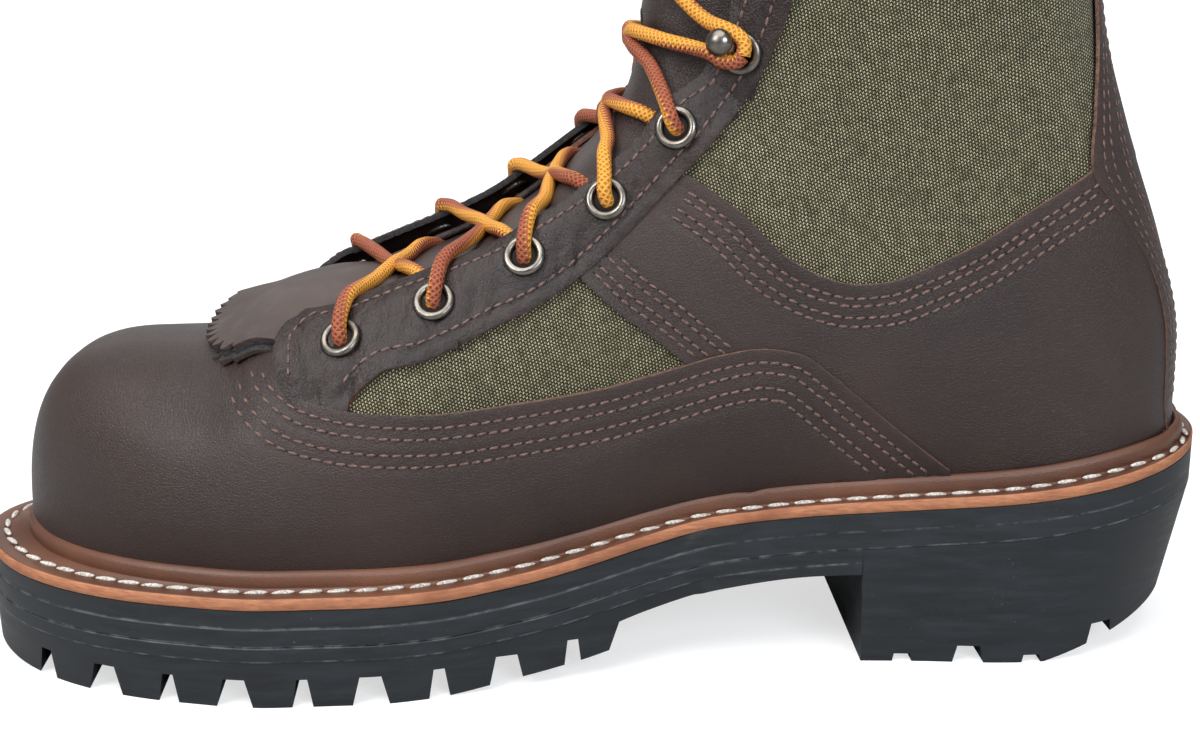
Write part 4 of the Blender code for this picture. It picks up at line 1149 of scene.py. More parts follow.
def creases(points):
    """Soft troughs across the eyestay between its eyelets."""
    flat = points[:, [0, 2]]
    total = np.zeros(len(points))
    for ends in CREASES:
        total += np.exp(-((path_distance(flat, np.array(ends)) / CREASE_WIDTH) ** 2))
    return CREASE_DEPTH * np.minimum(total, CREASE_LIMIT)


def corner_field(points, side):
    """Plan of an eyestay's front end: positive inside, with a round corner by the throat."""
    inward = points[:, 0] - EYESTAY_FRONT_X
    aside = (points[:, 1] - EYESTAY_INNER_Y[side]) * side + np.maximum(0.0, points[:, 0] - EYESTAY_FREE_X)
    corner = EYESTAY_CORNER - np.hypot(EYESTAY_CORNER - inward, EYESTAY_CORNER - aside)
    in_corner = (inward < EYESTAY_CORNER) & (aside < EYESTAY_CORNER)
    return np.where(in_corner, corner, np.minimum(inward, aside))


def over_kiltie(points):
    """How far an eyestay's front end is lifted by the flap that lies under it."""
    top = kiltie_top("x", points[:, 0]) + KILTIE_ROOM - LEATHER_FLOOR
    past = np.abs(points[:, 1] - KILTIE_MIDDLE_Y) - kiltie_half(points[:, 0])
    return np.maximum(top, 0.0) * smooth_step(1.0 - past / KILTIE_FADE)


def kiltie_top(key, at):
    """Height of the flap over the last; key says whether places are section rows or x."""
    return smooth_curve([getattr(spot, key) for spot in KILTIE_TOP], [spot.high for spot in KILTIE_TOP], at)


def kiltie_half(x):
    """Half width of the fringed flap along the boot."""
    return 28.8 + 0.25 * (x + 89.0) - 0.6 * np.maximum(0.0, x + 70.0)


STANDING_EDGE = {-1: 0.7, 1: 4.2}
STANDING_WIDTH = 6.0
THROAT_ROW_INSET = {-1: 3.2, 1: 2.4}
EYESTAY_FACES = {}
ABOVE_THROAT_Z = 150.0


def throat_row(side):
    """Line in space along an eyestay's throat edge and round its front end, a little inside."""
    inset = THROAT_ROW_INSET[side]
    rows = np.linspace(ROW["collar"] - 0.05, 3.75, 420)
    edge = [crown_point(u, inset_offset(u, side, inset)) for u in rows]
    centre_x = EYESTAY_FRONT_X + EYESTAY_CORNER
    centre_y = EYESTAY_INNER_Y[side] + side * EYESTAY_CORNER
    reach = EYESTAY_CORNER - inset
    turns = np.linspace(0.0, math.pi / 2.0, 12)
    plan = [(centre_x - reach * math.sin(a), centre_y - side * reach * math.cos(a)) for a in turns]
    plan += [(EYESTAY_FRONT_X + inset, centre_y + side * step) for step in np.arange(3.0, 20.0, 3.0)]
    return edge, plan


def make_eyestays():
    outline = np.vstack([[(10.0, 266.0), (-60.0, 150.0)], eyestay_front, eyestay_low[1:]])
    low_row = beside(eyestay_low, -3.0)
    rows = even_rows(2.9, 15.0, 1.3)
    for side, word in SIDES:

        def field(points):
            region = region_field(points[:, [0, 2]], outline)
            return np.minimum(region, corner_field(points, side))

        edge, plan = throat_row(side)
        edge_line = np.array(edge)

        def height(points):
            near_edge = np.min(np.linalg.norm(points[:, None, :] - edge_line[None, ::3, :], axis=2), axis=1)
            nearness = np.exp(-((near_edge / STANDING_WIDTH) ** 2))
            standing = STANDING_EDGE[side] * nearness
            rough = (1.0 - nearness) * (swell_noise(points, 11.0, 0.35) - creases(points))
            rough = rough - grooves(points, [low_row])
            return LEATHER_FLOOR + rough + standing + over_kiltie(points)

        rim = SUEDE if side > 0 else RUSSET_EDGE
        tree = make_panel(f"eyestay_{word}", rows, 76, field, height, EYESTAY_THICK, rim, CREASED)
        EYESTAY_FACES[side] = tree
        sew_side(tree, low_row, side, EYESTAY_THICK)
        sew_near(tree, edge_line, EYESTAY_THICK)
        corner = []
        for x, y in plan:
            hit, _, _, _ = tree.ray_cast(place((x, y, ABOVE_THROAT_Z)), Vector((0.0, 0.0, -1.0)))
            if hit is not None:
                corner.append(boot_point(hit))
        sew_near(tree, np.array(edge[-4:] + corner), EYESTAY_THICK)


def make_backstay():
    def field(points):
        inside = backstay_half(points[:, 2]) - np.abs(points[:, 1])
        return np.minimum(inside, points[:, 0] - BACKSTAY_FROM_X)

    def height(points):
        return LEATHER_FLOOR + BACKSTAY_LIFT + swell_noise(points, 20.0, 0.25)

    tree = make_panel("backstay", even_rows(8.0, 15.0, 1.5), 84, field, height, BACKSTAY_THICK)
    for side in (-1, 1):
        for inset in BACKSTAY_SEAMS:
            spots = []
            for z in np.arange(*BACKSTAY_SEAM_Z, STITCH_PITCH):
                y = side * (float(backstay_half(z)) - inset)
                hit, normal, _, _ = tree.ray_cast(place((BEHIND_X, y, z)), Vector((-1.0, 0.0, 0.0)))
                spots.append(None if hit is None else (hit + normal * (BACKSTAY_THICK - 0.15) * MM, normal))
            sew(spots)


THROAT_BAND = 9.0


def make_upper():
    """Woven body of the boot, with a band of leather along both edges of the throat."""
    bm = bmesh.new()
    last_sheet(bm, even_rows(0.0, 15.0, 2.2), 60)
    raise_sheet(bm, lambda points: np.full(len(points), -SKIN_DROP))
    edges = np.array([point for side in (-1, 1) for point in throat_row(side)[0][::3]])
    for face in bm.faces:
        spot = boot_point(face.calc_center_median())
        if np.min(np.linalg.norm(edges - spot, axis=1)) < THROAT_BAND:
            face.material_index = 2
    upper = finish_piece("nylon_upper", bm, [NYLON, LINING, LEATHER], ["upper"])
    wall(upper, WALL, -1.0, 1, 2)


# Tongue and kiltie

TONGUE_SWELL_ROWS = (3.0, 4.0, 6.0, 7.2, 8.0, 10.0, 11.5, 15.0)
TONGUE_SWELL = (0.0, -2.0, -2.0, 0.0, 3.0, 9.6, 11.5, 11.5)
TONGUE_COLUMNS = 33
TONGUE_TOP_ROWS = 8


def tongue_lift(u, offset):
    """Height of the tongue's top over the last: swelled in the middle, flat under the eyestays."""
    swell = smooth_curve(TONGUE_SWELL_ROWS, TONGUE_SWELL, u)
    share = abs(offset) / (throat_half(u) - TONGUE_FLAT)
    return -(WALL + SKIN_DROP + TONGUE_CLEAR) + float(swell) * max(0.0, 1.0 - share**2)


def make_tongue():
    rows = np.concatenate([np.linspace(3.3, 4.0, 10), np.linspace(4.1, 15.0, 110)])
    columns = TONGUE_COLUMNS
    table = np.zeros((len(rows) + TONGUE_TOP_ROWS, columns, 3))
    for i, u in enumerate(rows):
        reach = throat_half(u) + TONGUE_TUCK * min(1.0, (u - ROW["throat"]) * 1.5)
        for j in range(columns):
            offset = reach * (2.0 * j / (columns - 1) - 1.0)
            table[i, j] = lifted_crown(u, offset, tongue_lift(u, offset))
    fall = np.abs(np.linspace(-1.0, 1.0, columns)) ** 4
    for k in range(TONGUE_TOP_ROWS):
        step = (k + 1) / TONGUE_TOP_ROWS * TONGUE_ABOVE_COLLAR * (1.0 - 0.7 * fall)
        table[len(rows) + k] = table[len(rows) - 1] + np.stack([0.07 * step, 0.0 * step, step], axis=1)
    bm = bmesh.new()
    grid_sheet(bm, len(table), columns, table)
    face_toward(bm, (-1.0, 0.0, 0.6))
    raise_sheet(bm, lambda points: swell_noise(points, 18.0, 0.4))
    tree = BVHTree.FromBMesh(bm)
    tongue = finish_piece("leather_tongue", bm, [LEATHER, EDGE], ["tongue"])
    wall(tongue, TONGUE_THICK, -1.0)
    soften(tongue, 0.4)
    return tree


def face_toward(bm, direction):
    """Turn a sheet's faces so that they look along a direction."""
    bm.normal_update()
    total = sum((face.normal * face.calc_area() for face in bm.faces), Vector())
    if total.dot(Vector(direction)) < 0.0:
        bmesh.ops.reverse_faces(bm, faces=bm.faces)


KILTIE_FRONT_X = -97.0
KILTIE_FAR_RISE = 3.6
KILTIE_HELD_RISE = 1.2
KILTIE_NEAR_RISE = 1.5
KILTIE_REACH = 39.0
KILTIE_GRID = 110
FRINGE_CENTRE_X = -68.0
FRINGE_RADIUS = 30.0
FRINGE_PITCH = 4.8
FRINGE_DEPTH = 3.2


def kiltie_layer(name, drop, thickness, grow, skins, nodes):
    """One leather layer of the fringed flap: pinked round its front, its back end in the throat."""
    rows = np.linspace(KILTIE_TOP[0].row, KILTIE_TOP[-1].row, KILTIE_GRID)
    offsets = np.linspace(-KILTIE_REACH, KILTIE_REACH, KILTIE_GRID)
    tops = kiltie_top("row", rows)
    crown_x = np.array([crown_point(u, 0.0)[0] for u in rows])
    far_rise = KILTIE_FAR_RISE * smooth_step((EYESTAY_FRONT_X - 2.0 - crown_x) / 12.0)
    far_rise += KILTIE_HELD_RISE * smooth_step((rows[-1] - rows) / 0.7)
    near_rise = KILTIE_NEAR_RISE * smooth_step((EYESTAY_FRONT_X + 2.0 - crown_x) / 8.0)
    far = smooth_step((offsets + 2.0) / 28.0)
    near = smooth_step((-offsets - 14.0) / 14.0)
    lifts = tops[:, None] - drop + np.outer(far_rise, far) + np.outer(near_rise, near)
    table = np.array([
        [lifted_crown(u, offset, lift) for offset, lift in zip(offsets, row)] for u, row in zip(rows, lifts)
    ])
    bm = bmesh.new()
    grid_sheet(bm, len(rows), len(offsets), table)
    face_toward(bm, (-0.3, 0.0, 1.0))
    points = boot_points(list(bm.verts))
    across = points[:, 1] - KILTIE_MIDDLE_Y
    turn = np.arctan2(across, FRINGE_CENTRE_X - points[:, 0])
    tooth = FRINGE_DEPTH * np.abs(((turn * FRINGE_RADIUS / FRINGE_PITCH) % 1.0) * 2.0 - 1.0) ** 1.6
    front = KILTIE_FRONT_X - grow + 9.5 * (np.abs(across) / 31.0) ** 2.4
    half = kiltie_half(points[:, 0]) + grow
    pinked = points[:, 0] - front - np.where(np.abs(across) < FRINGE_RADIUS, tooth, 0.0)
    trim_sheet(bm, np.minimum(pinked, half - np.abs(across)))
    raise_sheet(bm, lambda p: swell_noise(p, 9.0, 0.35))
    layer = finish_piece(name, bm, skins, nodes)
    wall(layer, thickness, -1.0)
    soften(layer, 0.2)


def make_kiltie():
    kiltie_layer("kiltie_top", 0.0, 1.1, 0.0, [FLAP, FLAP_EDGE], ["kiltie"])
    kiltie_layer("kiltie_middle", 1.0, 1.5, -0.4, [SUEDE, SUEDE], [])
    kiltie_layer("kiltie_under", 2.3, 1.3, 0.4, [SUEDE, FLAP_EDGE], [])


# Eyelets, hooks and laces

def stud_inset(u):
    rows = [ROW["throat"], ROW["ball"], ROW["waist"], ROW["collar"]]
    insets = [FIRST_EYELET_INSET, FIRST_EYELET_INSET, EYELET_INSET, EYELET_INSET]
    return float(smooth_curve(rows, insets, u))


def inset_offset(u, side, inset):
    """Distance from the crest of a point on the eyestay, an inset away from the throat edge."""
    points, half, _, crown = section_curve(u, side)
    lengths = arc_lengths(points)
    edge = float(np.interp(-throat_half(u), -half[crown], lengths[crown]))
    return side * float(np.interp(edge - inset, lengths, half))


def lace_rows():
    rows = np.linspace(ROW["throat"] + 0.3, ROW["collar"], 200)
    line = np.array([crown_point(u, inset_offset(u, -1, stud_inset(u))) for u in rows])
    return np.interp(LACE_FIRST + LACE_PITCH * np.arange(LACE_ROWS), arc_lengths(line), rows)


STUD_ROWS = lace_rows()


def stud_frame(u, side):
    """Place and turn of a stud on the eyestay: its Z out of the leather, its X to the throat."""
    offset = inset_offset(u, side, stud_inset(u))
    normal = Vector(crown_normal(u, offset))
    toward = Vector(crown_point(u, offset - side * 2.0) - crown_point(u, offset))
    toward = (toward - normal * toward.dot(normal)).normalized()
    turned = Matrix((toward, normal.cross(toward), normal)).transposed().to_4x4()
    turned.translation = on_eyestay(u, side, offset, 0.0)
    return turned


def on_eyestay(u, side, offset, lift):
    """Place on an eyestay's outer face, lifted along the last's normal."""
    hit, _, _, _ = EYESTAY_FACES[side].find_nearest(place(lifted_crown(u, offset, 0.0)))
    return hit + Vector(crown_normal(u, offset)) * (EYESTAY_THICK + lift) * MM


def spin_profile(bm, profile, steps):
    """Ring of revolution about Z from a list of (radius, height)."""
    ring = [bm.verts.new((r * MM, 0.0, z * MM)) for r, z in profile]
    edges = [bm.edges.new(pair) for pair in zip(ring, ring[1:])]
    bmesh.ops.spin(
        bm, geom=ring + edges, axis=(0.0, 0.0, 1.0), cent=(0.0, 0.0, 0.0), steps=steps,
        angle=2.0 * math.pi, use_merge=True,
    )
    bmesh.ops.remove_doubles(bm, verts=bm.verts, dist=0.001 * MM)
    bmesh.ops.recalc_face_normals(bm, faces=bm.faces)


def rolled_ring(bm, outer, hole, high):
    """Eyelet ring with a rolled lip and a short barrel down into the hole."""
    angles = np.linspace(-0.25, math.pi + 0.45, 12)
    middle = (outer + hole) / 2.0
    reach = (outer - hole) / 2.0
    heights = [high * 0.25 + high * 0.75 * max(math.sin(a), -0.3) for a in angles]
    lip = [(middle + reach * math.cos(a), z) for a, z in zip(angles, heights)]
    barrel = [(hole + 0.05, -0.6), (hole + 0.45, -0.9), (outer - 0.4, -0.5)]
    spin_profile(bm, lip + barrel + [lip[0]], 40)


# Rings as (outer radius, hole's radius, height), and the leaning neck and the head of a hook
EYELET_RING = (5.0, 2.9, 1.2)
HOOK_RING = (4.9, 2.6, 1.2)
HOOK_HEAD_X = 4.6
HOOK_NECK_RADII = (2.6, 1.6)
HOOK_NECK_LONG = 4.4
HOOK_NECK_X = 2.2
HOOK_NECK_Z = 2.0
HOOK_LEAN = 0.95


def make_eyelets():
    for index, u in enumerate(STUD_ROWS[:EYELET_ROWS]):
        for side, word in SIDES:
            which = f"{word}_{index + 1}"
            where = stud_frame(u, side)
            bm = bmesh.new()
            rolled_ring(bm, *EYELET_RING)
            bmesh.ops.transform(bm, matrix=where, verts=bm.verts)
            finish_piece(f"eyelet_ring_{which}", bm, [NICKEL], [f"eyelet_{which}"])
            # Near-black disc over the eyelet's hole: painted shade for the hole
            bm = bmesh.new()
            spin_profile(bm, [(0.0, 0.15), (3.1, 0.15), (3.1, -0.1), (0.0, -0.1)], 24)
            bmesh.ops.transform(bm, matrix=where, verts=bm.verts)
            finish_piece(f"eyelet_hole_shade_{which}", bm, [HOLE_SHADE])


# Half outline of a hook's round head, as (radius, height)
HOOK_DOME = [
    (0.0, 6.6), (1.2, 6.45), (2.2, 6.0), (2.9, 5.3), (3.2, 4.5), (3.1, 4.1), (2.4, 3.9), (0.0, 3.9),
]


def take_in(bm, extra):
    """Add one bmesh to another and free it."""
    spare = bpy.data.meshes.new("spare")
    extra.to_mesh(spare)
    extra.free()
    bm.from_mesh(spare)
    bpy.data.meshes.remove(spare)


def make_hooks():
    for index, u in enumerate(STUD_ROWS[EYELET_ROWS:]):
        for side, word in SIDES:
            which = f"{word}_{index + 1}"
            where = stud_frame(u, side)
            bm = bmesh.new()
            rolled_ring(bm, *HOOK_RING)
            head = bmesh.new()
            spin_profile(head, HOOK_DOME, 32)
            bmesh.ops.translate(head, verts=head.verts, vec=(HOOK_HEAD_X * MM, 0.0, 0.0))
            neck = bmesh.new()
            bmesh.ops.create_cone(
                neck, cap_ends=True, segments=20, radius1=HOOK_NECK_RADII[0] * MM,
                radius2=HOOK_NECK_RADII[1] * MM, depth=HOOK_NECK_LONG * MM,
            )
            lean = Matrix.Shear("XY", 3, (HOOK_LEAN, 0.0))
            bmesh.ops.transform(neck, matrix=lean, verts=neck.verts)
            bmesh.ops.translate(neck, verts=neck.verts, vec=(HOOK_NECK_X * MM, 0.0, HOOK_NECK_Z * MM))
            take_in(bm, head)
            take_in(bm, neck)
            bmesh.ops.transform(bm, matrix=where, verts=bm.verts)
            finish_piece(f"speed_hook_{which}", bm, [NICKEL], [f"hook_{which}"])


def boot_place(matrix, x, y, z):
    """Point of a stud's own frame, in the boot's frame."""
    return boot_point(matrix @ Vector((x * MM, y * MM, z * MM)))


CORD_SIDES = 12
CORD_STEP = 0.8
CORD_TWIST = 90.0
PLAIT_PITCH = 1.25


def cord_tube(bm, route, radius, turn_at, pitch):
    """Braided cord along a smooth route; its UV map counts plaits along it and turns round it."""
    sides = CORD_SIDES
    lengths = arc_lengths(route)
    path = along(route, lengths, np.linspace(0.0, lengths[-1], max(int(lengths[-1] / CORD_STEP), 8)))
    run = arc_lengths(path)
    ahead = np.gradient(path, axis=0)
    ahead /= np.linalg.norm(ahead, axis=1, keepdims=True)
    across = Vector(ahead[0]).orthogonal().normalized()
    rings = []
    for point, direction in zip(path, ahead):
        forward = Vector(direction)
        across = (across - forward * across.dot(forward)).normalized()
        other = forward.cross(across)
        angles = 2.0 * math.pi * np.arange(sides + 1) / sides
        spokes = np.outer(np.cos(angles), across) + np.outer(np.sin(angles), other)
        rings.append(point + radius * spokes)
    layer = bm.loops.layers.uv.get("UVMap") or bm.loops.layers.uv.new("UVMap")
    made = bmesh.ops.create_grid(bm, x_segments=len(path) - 1, y_segments=sides, size=1.0)["verts"]
    for face in {face for vertex in made for face in vertex.link_faces}:
        for loop in face.loops:
            i = round((loop.vert.co.x + 1.0) / 2.0 * (len(path) - 1))
            j = round((loop.vert.co.y + 1.0) / 2.0 * sides)
            loop[layer].uv = (run[i] / pitch, j / sides + turn_at + run[i] / CORD_TWIST)
    for vertex in made:
        i = round((vertex.co.x + 1.0) / 2.0 * (len(path) - 1))
        j = round((vertex.co.y + 1.0) / 2.0 * sides)
        vertex.co = place(rings[i][j])
    bmesh.ops.remove_doubles(bm, verts=made, dist=0.001 * MM)
    bmesh.ops.holes_fill(bm, edges=[edge for edge in bm.edges if edge.is_boundary], sides=sides)
    bmesh.ops.recalc_face_normals(bm, faces=bm.faces)


def stud_point(row, side, inset, lift):
    """Point of an eyestay at an inset from the throat edge, lifted over the last."""
    return boot_point(on_eyestay(row, side, inset_offset(row, side, max(inset, 0.0)), lift))


# How high strands run over each eyestay's edge, and how far toward the next row they leave it
EDGE_LIFT = {-1: 2.1, 1: 4.4}
LEAVE_SHARE = 0.14


def hook_turn(row, side, upper):
    """Half turn of the lace round a hook's neck, from its back to the throat side."""
    where = stud_frame(row, side)
    up = Vector(crown_point(row + 0.05, 0.0) - crown_point(row - 0.05, 0.0))
    sign = 1.0 if Vector(where.col[1][:3]).dot(up) > 0.0 else -1.0
    sign = sign if upper else -sign
    spots = [(-1.3, 0.0, 2.4), (-0.3, 2.3 * sign, 2.4), (2.0, 3.3 * sign, 2.5), (5.2, 3.2 * sign, 2.6)]
    return [boot_place(where, *spot) for spot in spots]


def strand_route(index, side):
    """Lace from an eyelet or hook over its eyestay's edge, across the tongue, to the other side."""
    low = STUD_ROWS[index]
    high = STUD_ROWS[index + 1]
    step = high - low
    if index < EYELET_ROWS:
        inset = stud_inset(low)
        points = [stud_point(low, side, inset + 0.6, -2.4), stud_point(low, side, inset + 0.2, 0.6)]
        points += [stud_point(low + 0.02 * step, side, inset - 1.6, 2.0)]
        points += [stud_point(low + 0.08 * step, side, 1.6, LACE_RADIUS)]
    else:
        points = hook_turn(low, side, True)
    start = inset_offset(low + LEAVE_SHARE * step, side, 0.0) - side * 1.5
    to_hook = index + 1 >= EYELET_ROWS
    finish = -side * (throat_half(high) + (-1.0 if to_hook else 2.5))
    rise = 0.66 if to_hook else 0.8
    last_lift = EDGE_LIFT[-side] - 0.6 if to_hook else -SKIN_DROP - WALL - 0.6
    first_point = lifted_crown(low + LEAVE_SHARE * step, start, EDGE_LIFT[side] - 1.2)
    last_point = lifted_crown(low + (LEAVE_SHARE + rise) * step, finish, last_lift)
    crossing = LACE_RADIUS * (0.9 if (side < 0) == (index % 2 == 0) else -0.5)
    for share in (0.0, 0.2, 0.4, 0.5, 0.6, 0.8, 1.0):
        u = low + (LEAVE_SHARE + rise * share) * step
        offset = start + share * (finish - start)
        normal = crown_normal(u, offset)
        point = first_point + share * (last_point - first_point)
        point = point + normal * crossing * math.exp(-(((share - 0.5) / 0.16) ** 2))
        on_tongue = lifted_crown(u, offset, tongue_lift(u, offset) + LACE_RADIUS)
        if 0.0 < share < 1.0:
            point = point + normal * max(0.0, float((on_tongue - point) @ normal))
        points.append(point)
    if to_hook:
        points += hook_turn(high, -side, False)[::-1]
    return rounded(np.array(points), 8)


def make_laces():
    for index in range(LACE_ROWS - 1):
        bm = bmesh.new()
        for side in (-1, 1):
            cord_tube(bm, strand_route(index, side), LACE_RADIUS, 0.15 + 0.27 * index, PLAIT_PITCH)
        finish_piece(f"lace_crossing_{index + 1}", bm, [BRAID], [f"lace_{index + 1}"])


KEEPER_HALF = (2.0, 5.2)


def make_keeper(tree):
    """Slit in the tongue that keeps the laces in the middle, bound with black thread; the slit itself is a
    dark mark of painted shade.
    """
    row = 0.5 * (STUD_ROWS[EYELET_ROWS - 1] + STUD_ROWS[EYELET_ROWS])
    bound = Stitching(1.7, 0.7, 0.6)
    # The slit is a near-black mark: painted shade for the inside of the slit
    slit = Stitching(2.2 * KEEPER_HALF[1], 1.6, 0.5)
    middle = crown_point(row, 0.0)
    along_tongue = Vector(crown_point(row + 0.1, 0.0) - crown_point(row - 0.1, 0.0)).normalized()
    for angle in np.linspace(0.0, 2.0 * math.pi, 30, endpoint=False):
        spot = middle + np.array(along_tongue) * KEEPER_HALF[1] * math.cos(angle)
        spot = spot + np.array([0.0, KEEPER_HALF[0] * math.sin(angle), 0.0])
        hit, normal, _, _ = tree.find_nearest(place(spot))
        bound.put(hit, Vector((0.0, math.sin(angle), 0.0)) + along_tongue * math.cos(angle) * 0.6, normal)
    hit, normal, _, _ = tree.find_nearest(place(middle))
    slit.put(hit, along_tongue, normal)
    bound.make("keeper_stitches", KEEPER_THREAD)
    slit.make("keeper_slit_shade", HOLE_SHADE)


# Sole

FLUSH_X = 22.0
SAME_SPOT = 0.02
RUBBER_CREASE = math.radians(35.0)


def outline_loop(bm, stations, extra, height):
    """Closed loop of edges round the sole, moved outward as far as the waist; height gives z from x."""
    outward = [extra if column("base_x", u) < FLUSH_X else 0.0 for u in stations]
    inner = [outline_point(u, -1, reach) for u, reach in zip(stations, outward)]
    outer = [outline_point(u, 1, reach) for u, reach in zip(stations, outward)]
    ends = np.array([inner[0], inner[-1]])
    ring = inner + [spot for spot in outer[::-1] if np.linalg.norm(ends - spot, axis=1).min() > SAME_SPOT]
    verts = [bm.verts.new(place((x, y, float(height(x))))) for x, y in ring]
    return [bm.edges.new((verts[k - 1], verts[k])) for k in range(len(verts))]


def marked_loops(bm, stations, height, profile):
    """Loops for a profile of (outward, down, line): line 1 marks where a pale line of painted highlight
    runs along an edge.
    """
    layer = bm.verts.layers.float.new("step_edge_highlight")
    loops = []
    for extra, down, line in profile:
        loop = outline_loop(bm, stations, extra, lambda x: height(x) - down)
        for edge in loop:
            edge.verts[0][layer] = line
        loops.append(loop)
    return loops


def stacked_solid(bm, loops):
    """Closed solid through loops of edges, one over the other."""
    for upper, lower in zip(loops, loops[1:]):
        bmesh.ops.bridge_loops(bm, edges=upper + lower)
    for loop in (loops[0], loops[-1]):
        bmesh.ops.triangle_fill(bm, edges=loop, use_beauty=True)
    bmesh.ops.recalc_face_normals(bm, faces=bm.faces)


def midsole_top(x):
    return welt_top(x) - WELT_THICK - 0.05


def outsole_top(x):
    return midsole_top(x) - MIDSOLE_THICK - 0.1


def make_midsole():
    stations = foot_stations(TOE_TIP_X, HEEL_END_X, 110)
    half = MIDSOLE_THICK / 2.0
    bm = bmesh.new()
    # Each loop as (outward, down, line); line sets how strong the painted edge highlight is there
    profile = [
        (-0.7, 0.0, 0.0), (-0.35, 0.3, 0.0), (-0.35, half - 0.4, 0.0), (-0.35, half - 0.2, 0.6),
        (-0.25, half + 0.1, 0.6), (0.0, half + 0.3, 0.0), (0.05, half + 0.8, 0.0),
        (0.05, MIDSOLE_THICK - 0.5, 0.0), (0.05, MIDSOLE_THICK - 0.3, 1.0), (-0.1, MIDSOLE_THICK, 1.0),
    ]
    stacked_solid(bm, marked_loops(bm, stations, midsole_top, profile))
    midsole = finish_piece("rubber_midsole", bm, [RUBBER], ["midsole"])
    midsole.data.set_sharp_from_angle(angle=RUBBER_CREASE)


def gap_prism(bm, x, widths, y_from, y_to, low, high):
    """Trapezoid bar across the sole that leaves a gap between lugs; widths are below and above."""
    corners = [(-widths[0], low), (widths[0], low), (widths[1], high), (-widths[1], high)]
    face = bm.faces.new([bm.verts.new(place((x + wide / 2.0, y_from, z))) for wide, z in corners])
    grown = bmesh.ops.extrude_face_region(bm, geom=[face])
    moved = [v for v in grown["geom"] if isinstance(v, bmesh.types.BMVert)]
    bmesh.ops.translate(bm, verts=moved, vec=(0.0, (y_to - y_from) * MM, 0.0))


def carve(piece, tools):
    """Cut tools out of a piece and keep only the result."""
    spare = []
    for bm in tools:
        bmesh.ops.recalc_face_normals(bm, faces=bm.faces)
        mesh = bpy.data.meshes.new("cutter")
        bm.to_mesh(mesh)
        bm.free()
        tool = bpy.data.objects.new("cutter", mesh)
        bpy.context.scene.collection.objects.link(tool)
        boolean = piece.modifiers.new("carve", "BOOLEAN")
        boolean.operation = "DIFFERENCE"
        boolean.solver = "EXACT"
        boolean.object = tool
        spare.append(tool)
    bpy.context.view_layer.update()
    shaped = piece.evaluated_get(bpy.context.evaluated_depsgraph_get())
    result = bpy.data.meshes.new_from_object(shaped)
    piece.modifiers.clear()
    piece.data = result
    for tool in spare:
        bpy.data.objects.remove(tool, do_unlink=True)
    piece.data.set_sharp_from_angle(angle=RUBBER_CREASE)


REAR_LUG_RISE = 1.4


def make_outsole():
    lugs = foot_stations(TOE_TIP_X, LUG_END_X - 0.2, 90)
    waist = foot_stations(LUG_END_X + 0.2, BREAST_X - 0.02, 30)
    stations = np.concatenate([lugs, waist])

    def underside(x):
        if x > LUG_END_X:
            return sole_line("plate", x)
        return sole_line("tread", x) + REAR_LUG_RISE * float(smooth_step((x + 48.0) / 40.0))

    bm = bmesh.new()
    # Each loop as (outward, down, line); line sets how strong the painted edge highlight is there
    profile = [
        (-0.1, 0.0, 1.0), (0.1, 0.2, 0.4), (0.12, 0.45, 0.0), (0.12, 3.1, 0.0), (0.12, 3.3, 1.0),
        (0.05, 3.55, 1.0), (-0.3, 3.8, 0.0),
    ]
    loops = marked_loops(bm, stations, outsole_top, profile)
    loops.append(outline_loop(bm, stations, -0.8, underside))
    stacked_solid(bm, loops)
    outsole = finish_piece("lugged_outsole", bm, [RUBBER], ["outsole"])
    edge = bmesh.new()
    middle = bmesh.new()
    for index in range(GAP_COUNT):
        x = GAP_FIRST_X + GAP_PITCH * index
        widths = GAP_NARROW if index % 2 == 0 else GAP_WIDE
        roof = float(sole_line("plate", x))
        gap_prism(edge, x, widths, -LUG_CUT_Y, -GAP_INNER_Y, UNDER_SOLE_Z, roof)
        gap_prism(edge, x, widths, GAP_INNER_Y, LUG_CUT_Y, UNDER_SOLE_Z, roof)
        if index:
            gap_prism(middle, x - GAP_PITCH / 2.0, GAP_NARROW, -CHANNEL_Y, CHANNEL_Y, UNDER_SOLE_Z, roof)
    channels = bmesh.new()
    start = GAP_FIRST_X + GAP_PITCH
    finish = GAP_FIRST_X + GAP_PITCH * (GAP_COUNT - 1)
    halfway = (start + finish) / 2.0
    length = finish - start
    roof = float(sole_line("plate", -75.0)) - 0.4
    for y in (-CHANNEL_Y - CHANNEL_WIDE, CHANNEL_Y):
        gap_prism(channels, halfway, (length, length), y, y + CHANNEL_WIDE, UNDER_SOLE_Z, roof)
    carve(outsole, [edge, middle, channels])


def heel_foot_z(x):
    """Underside of the heel: flat, then rising toward the back."""
    return max(0.0, (x - HEEL_BEVEL_X) * HEEL_BEVEL_SLOPE)


def heel_foot_width(x):
    """Share of the sole's width that the heel keeps on the floor, less toward the back."""
    share = max(0.0, (x - HEEL_TAPER_X) / (HEEL_FOOT_BACK_X - HEEL_TAPER_X))
    return HEEL_FOOT_WIDTH * (1.0 - HEEL_TAPER * share**2)


Notch = namedtuple("Notch", "x widths high")
HEEL_NOTCHES = [
    Notch(72.5, (5.5, 4.0), 2.0),
    Notch(88.5, (8.5, 5.5), 4.4),
    Notch(104.0, (5.5, 4.0), 2.0),
    Notch(122.0, (8.5, 5.5), 4.4),
]


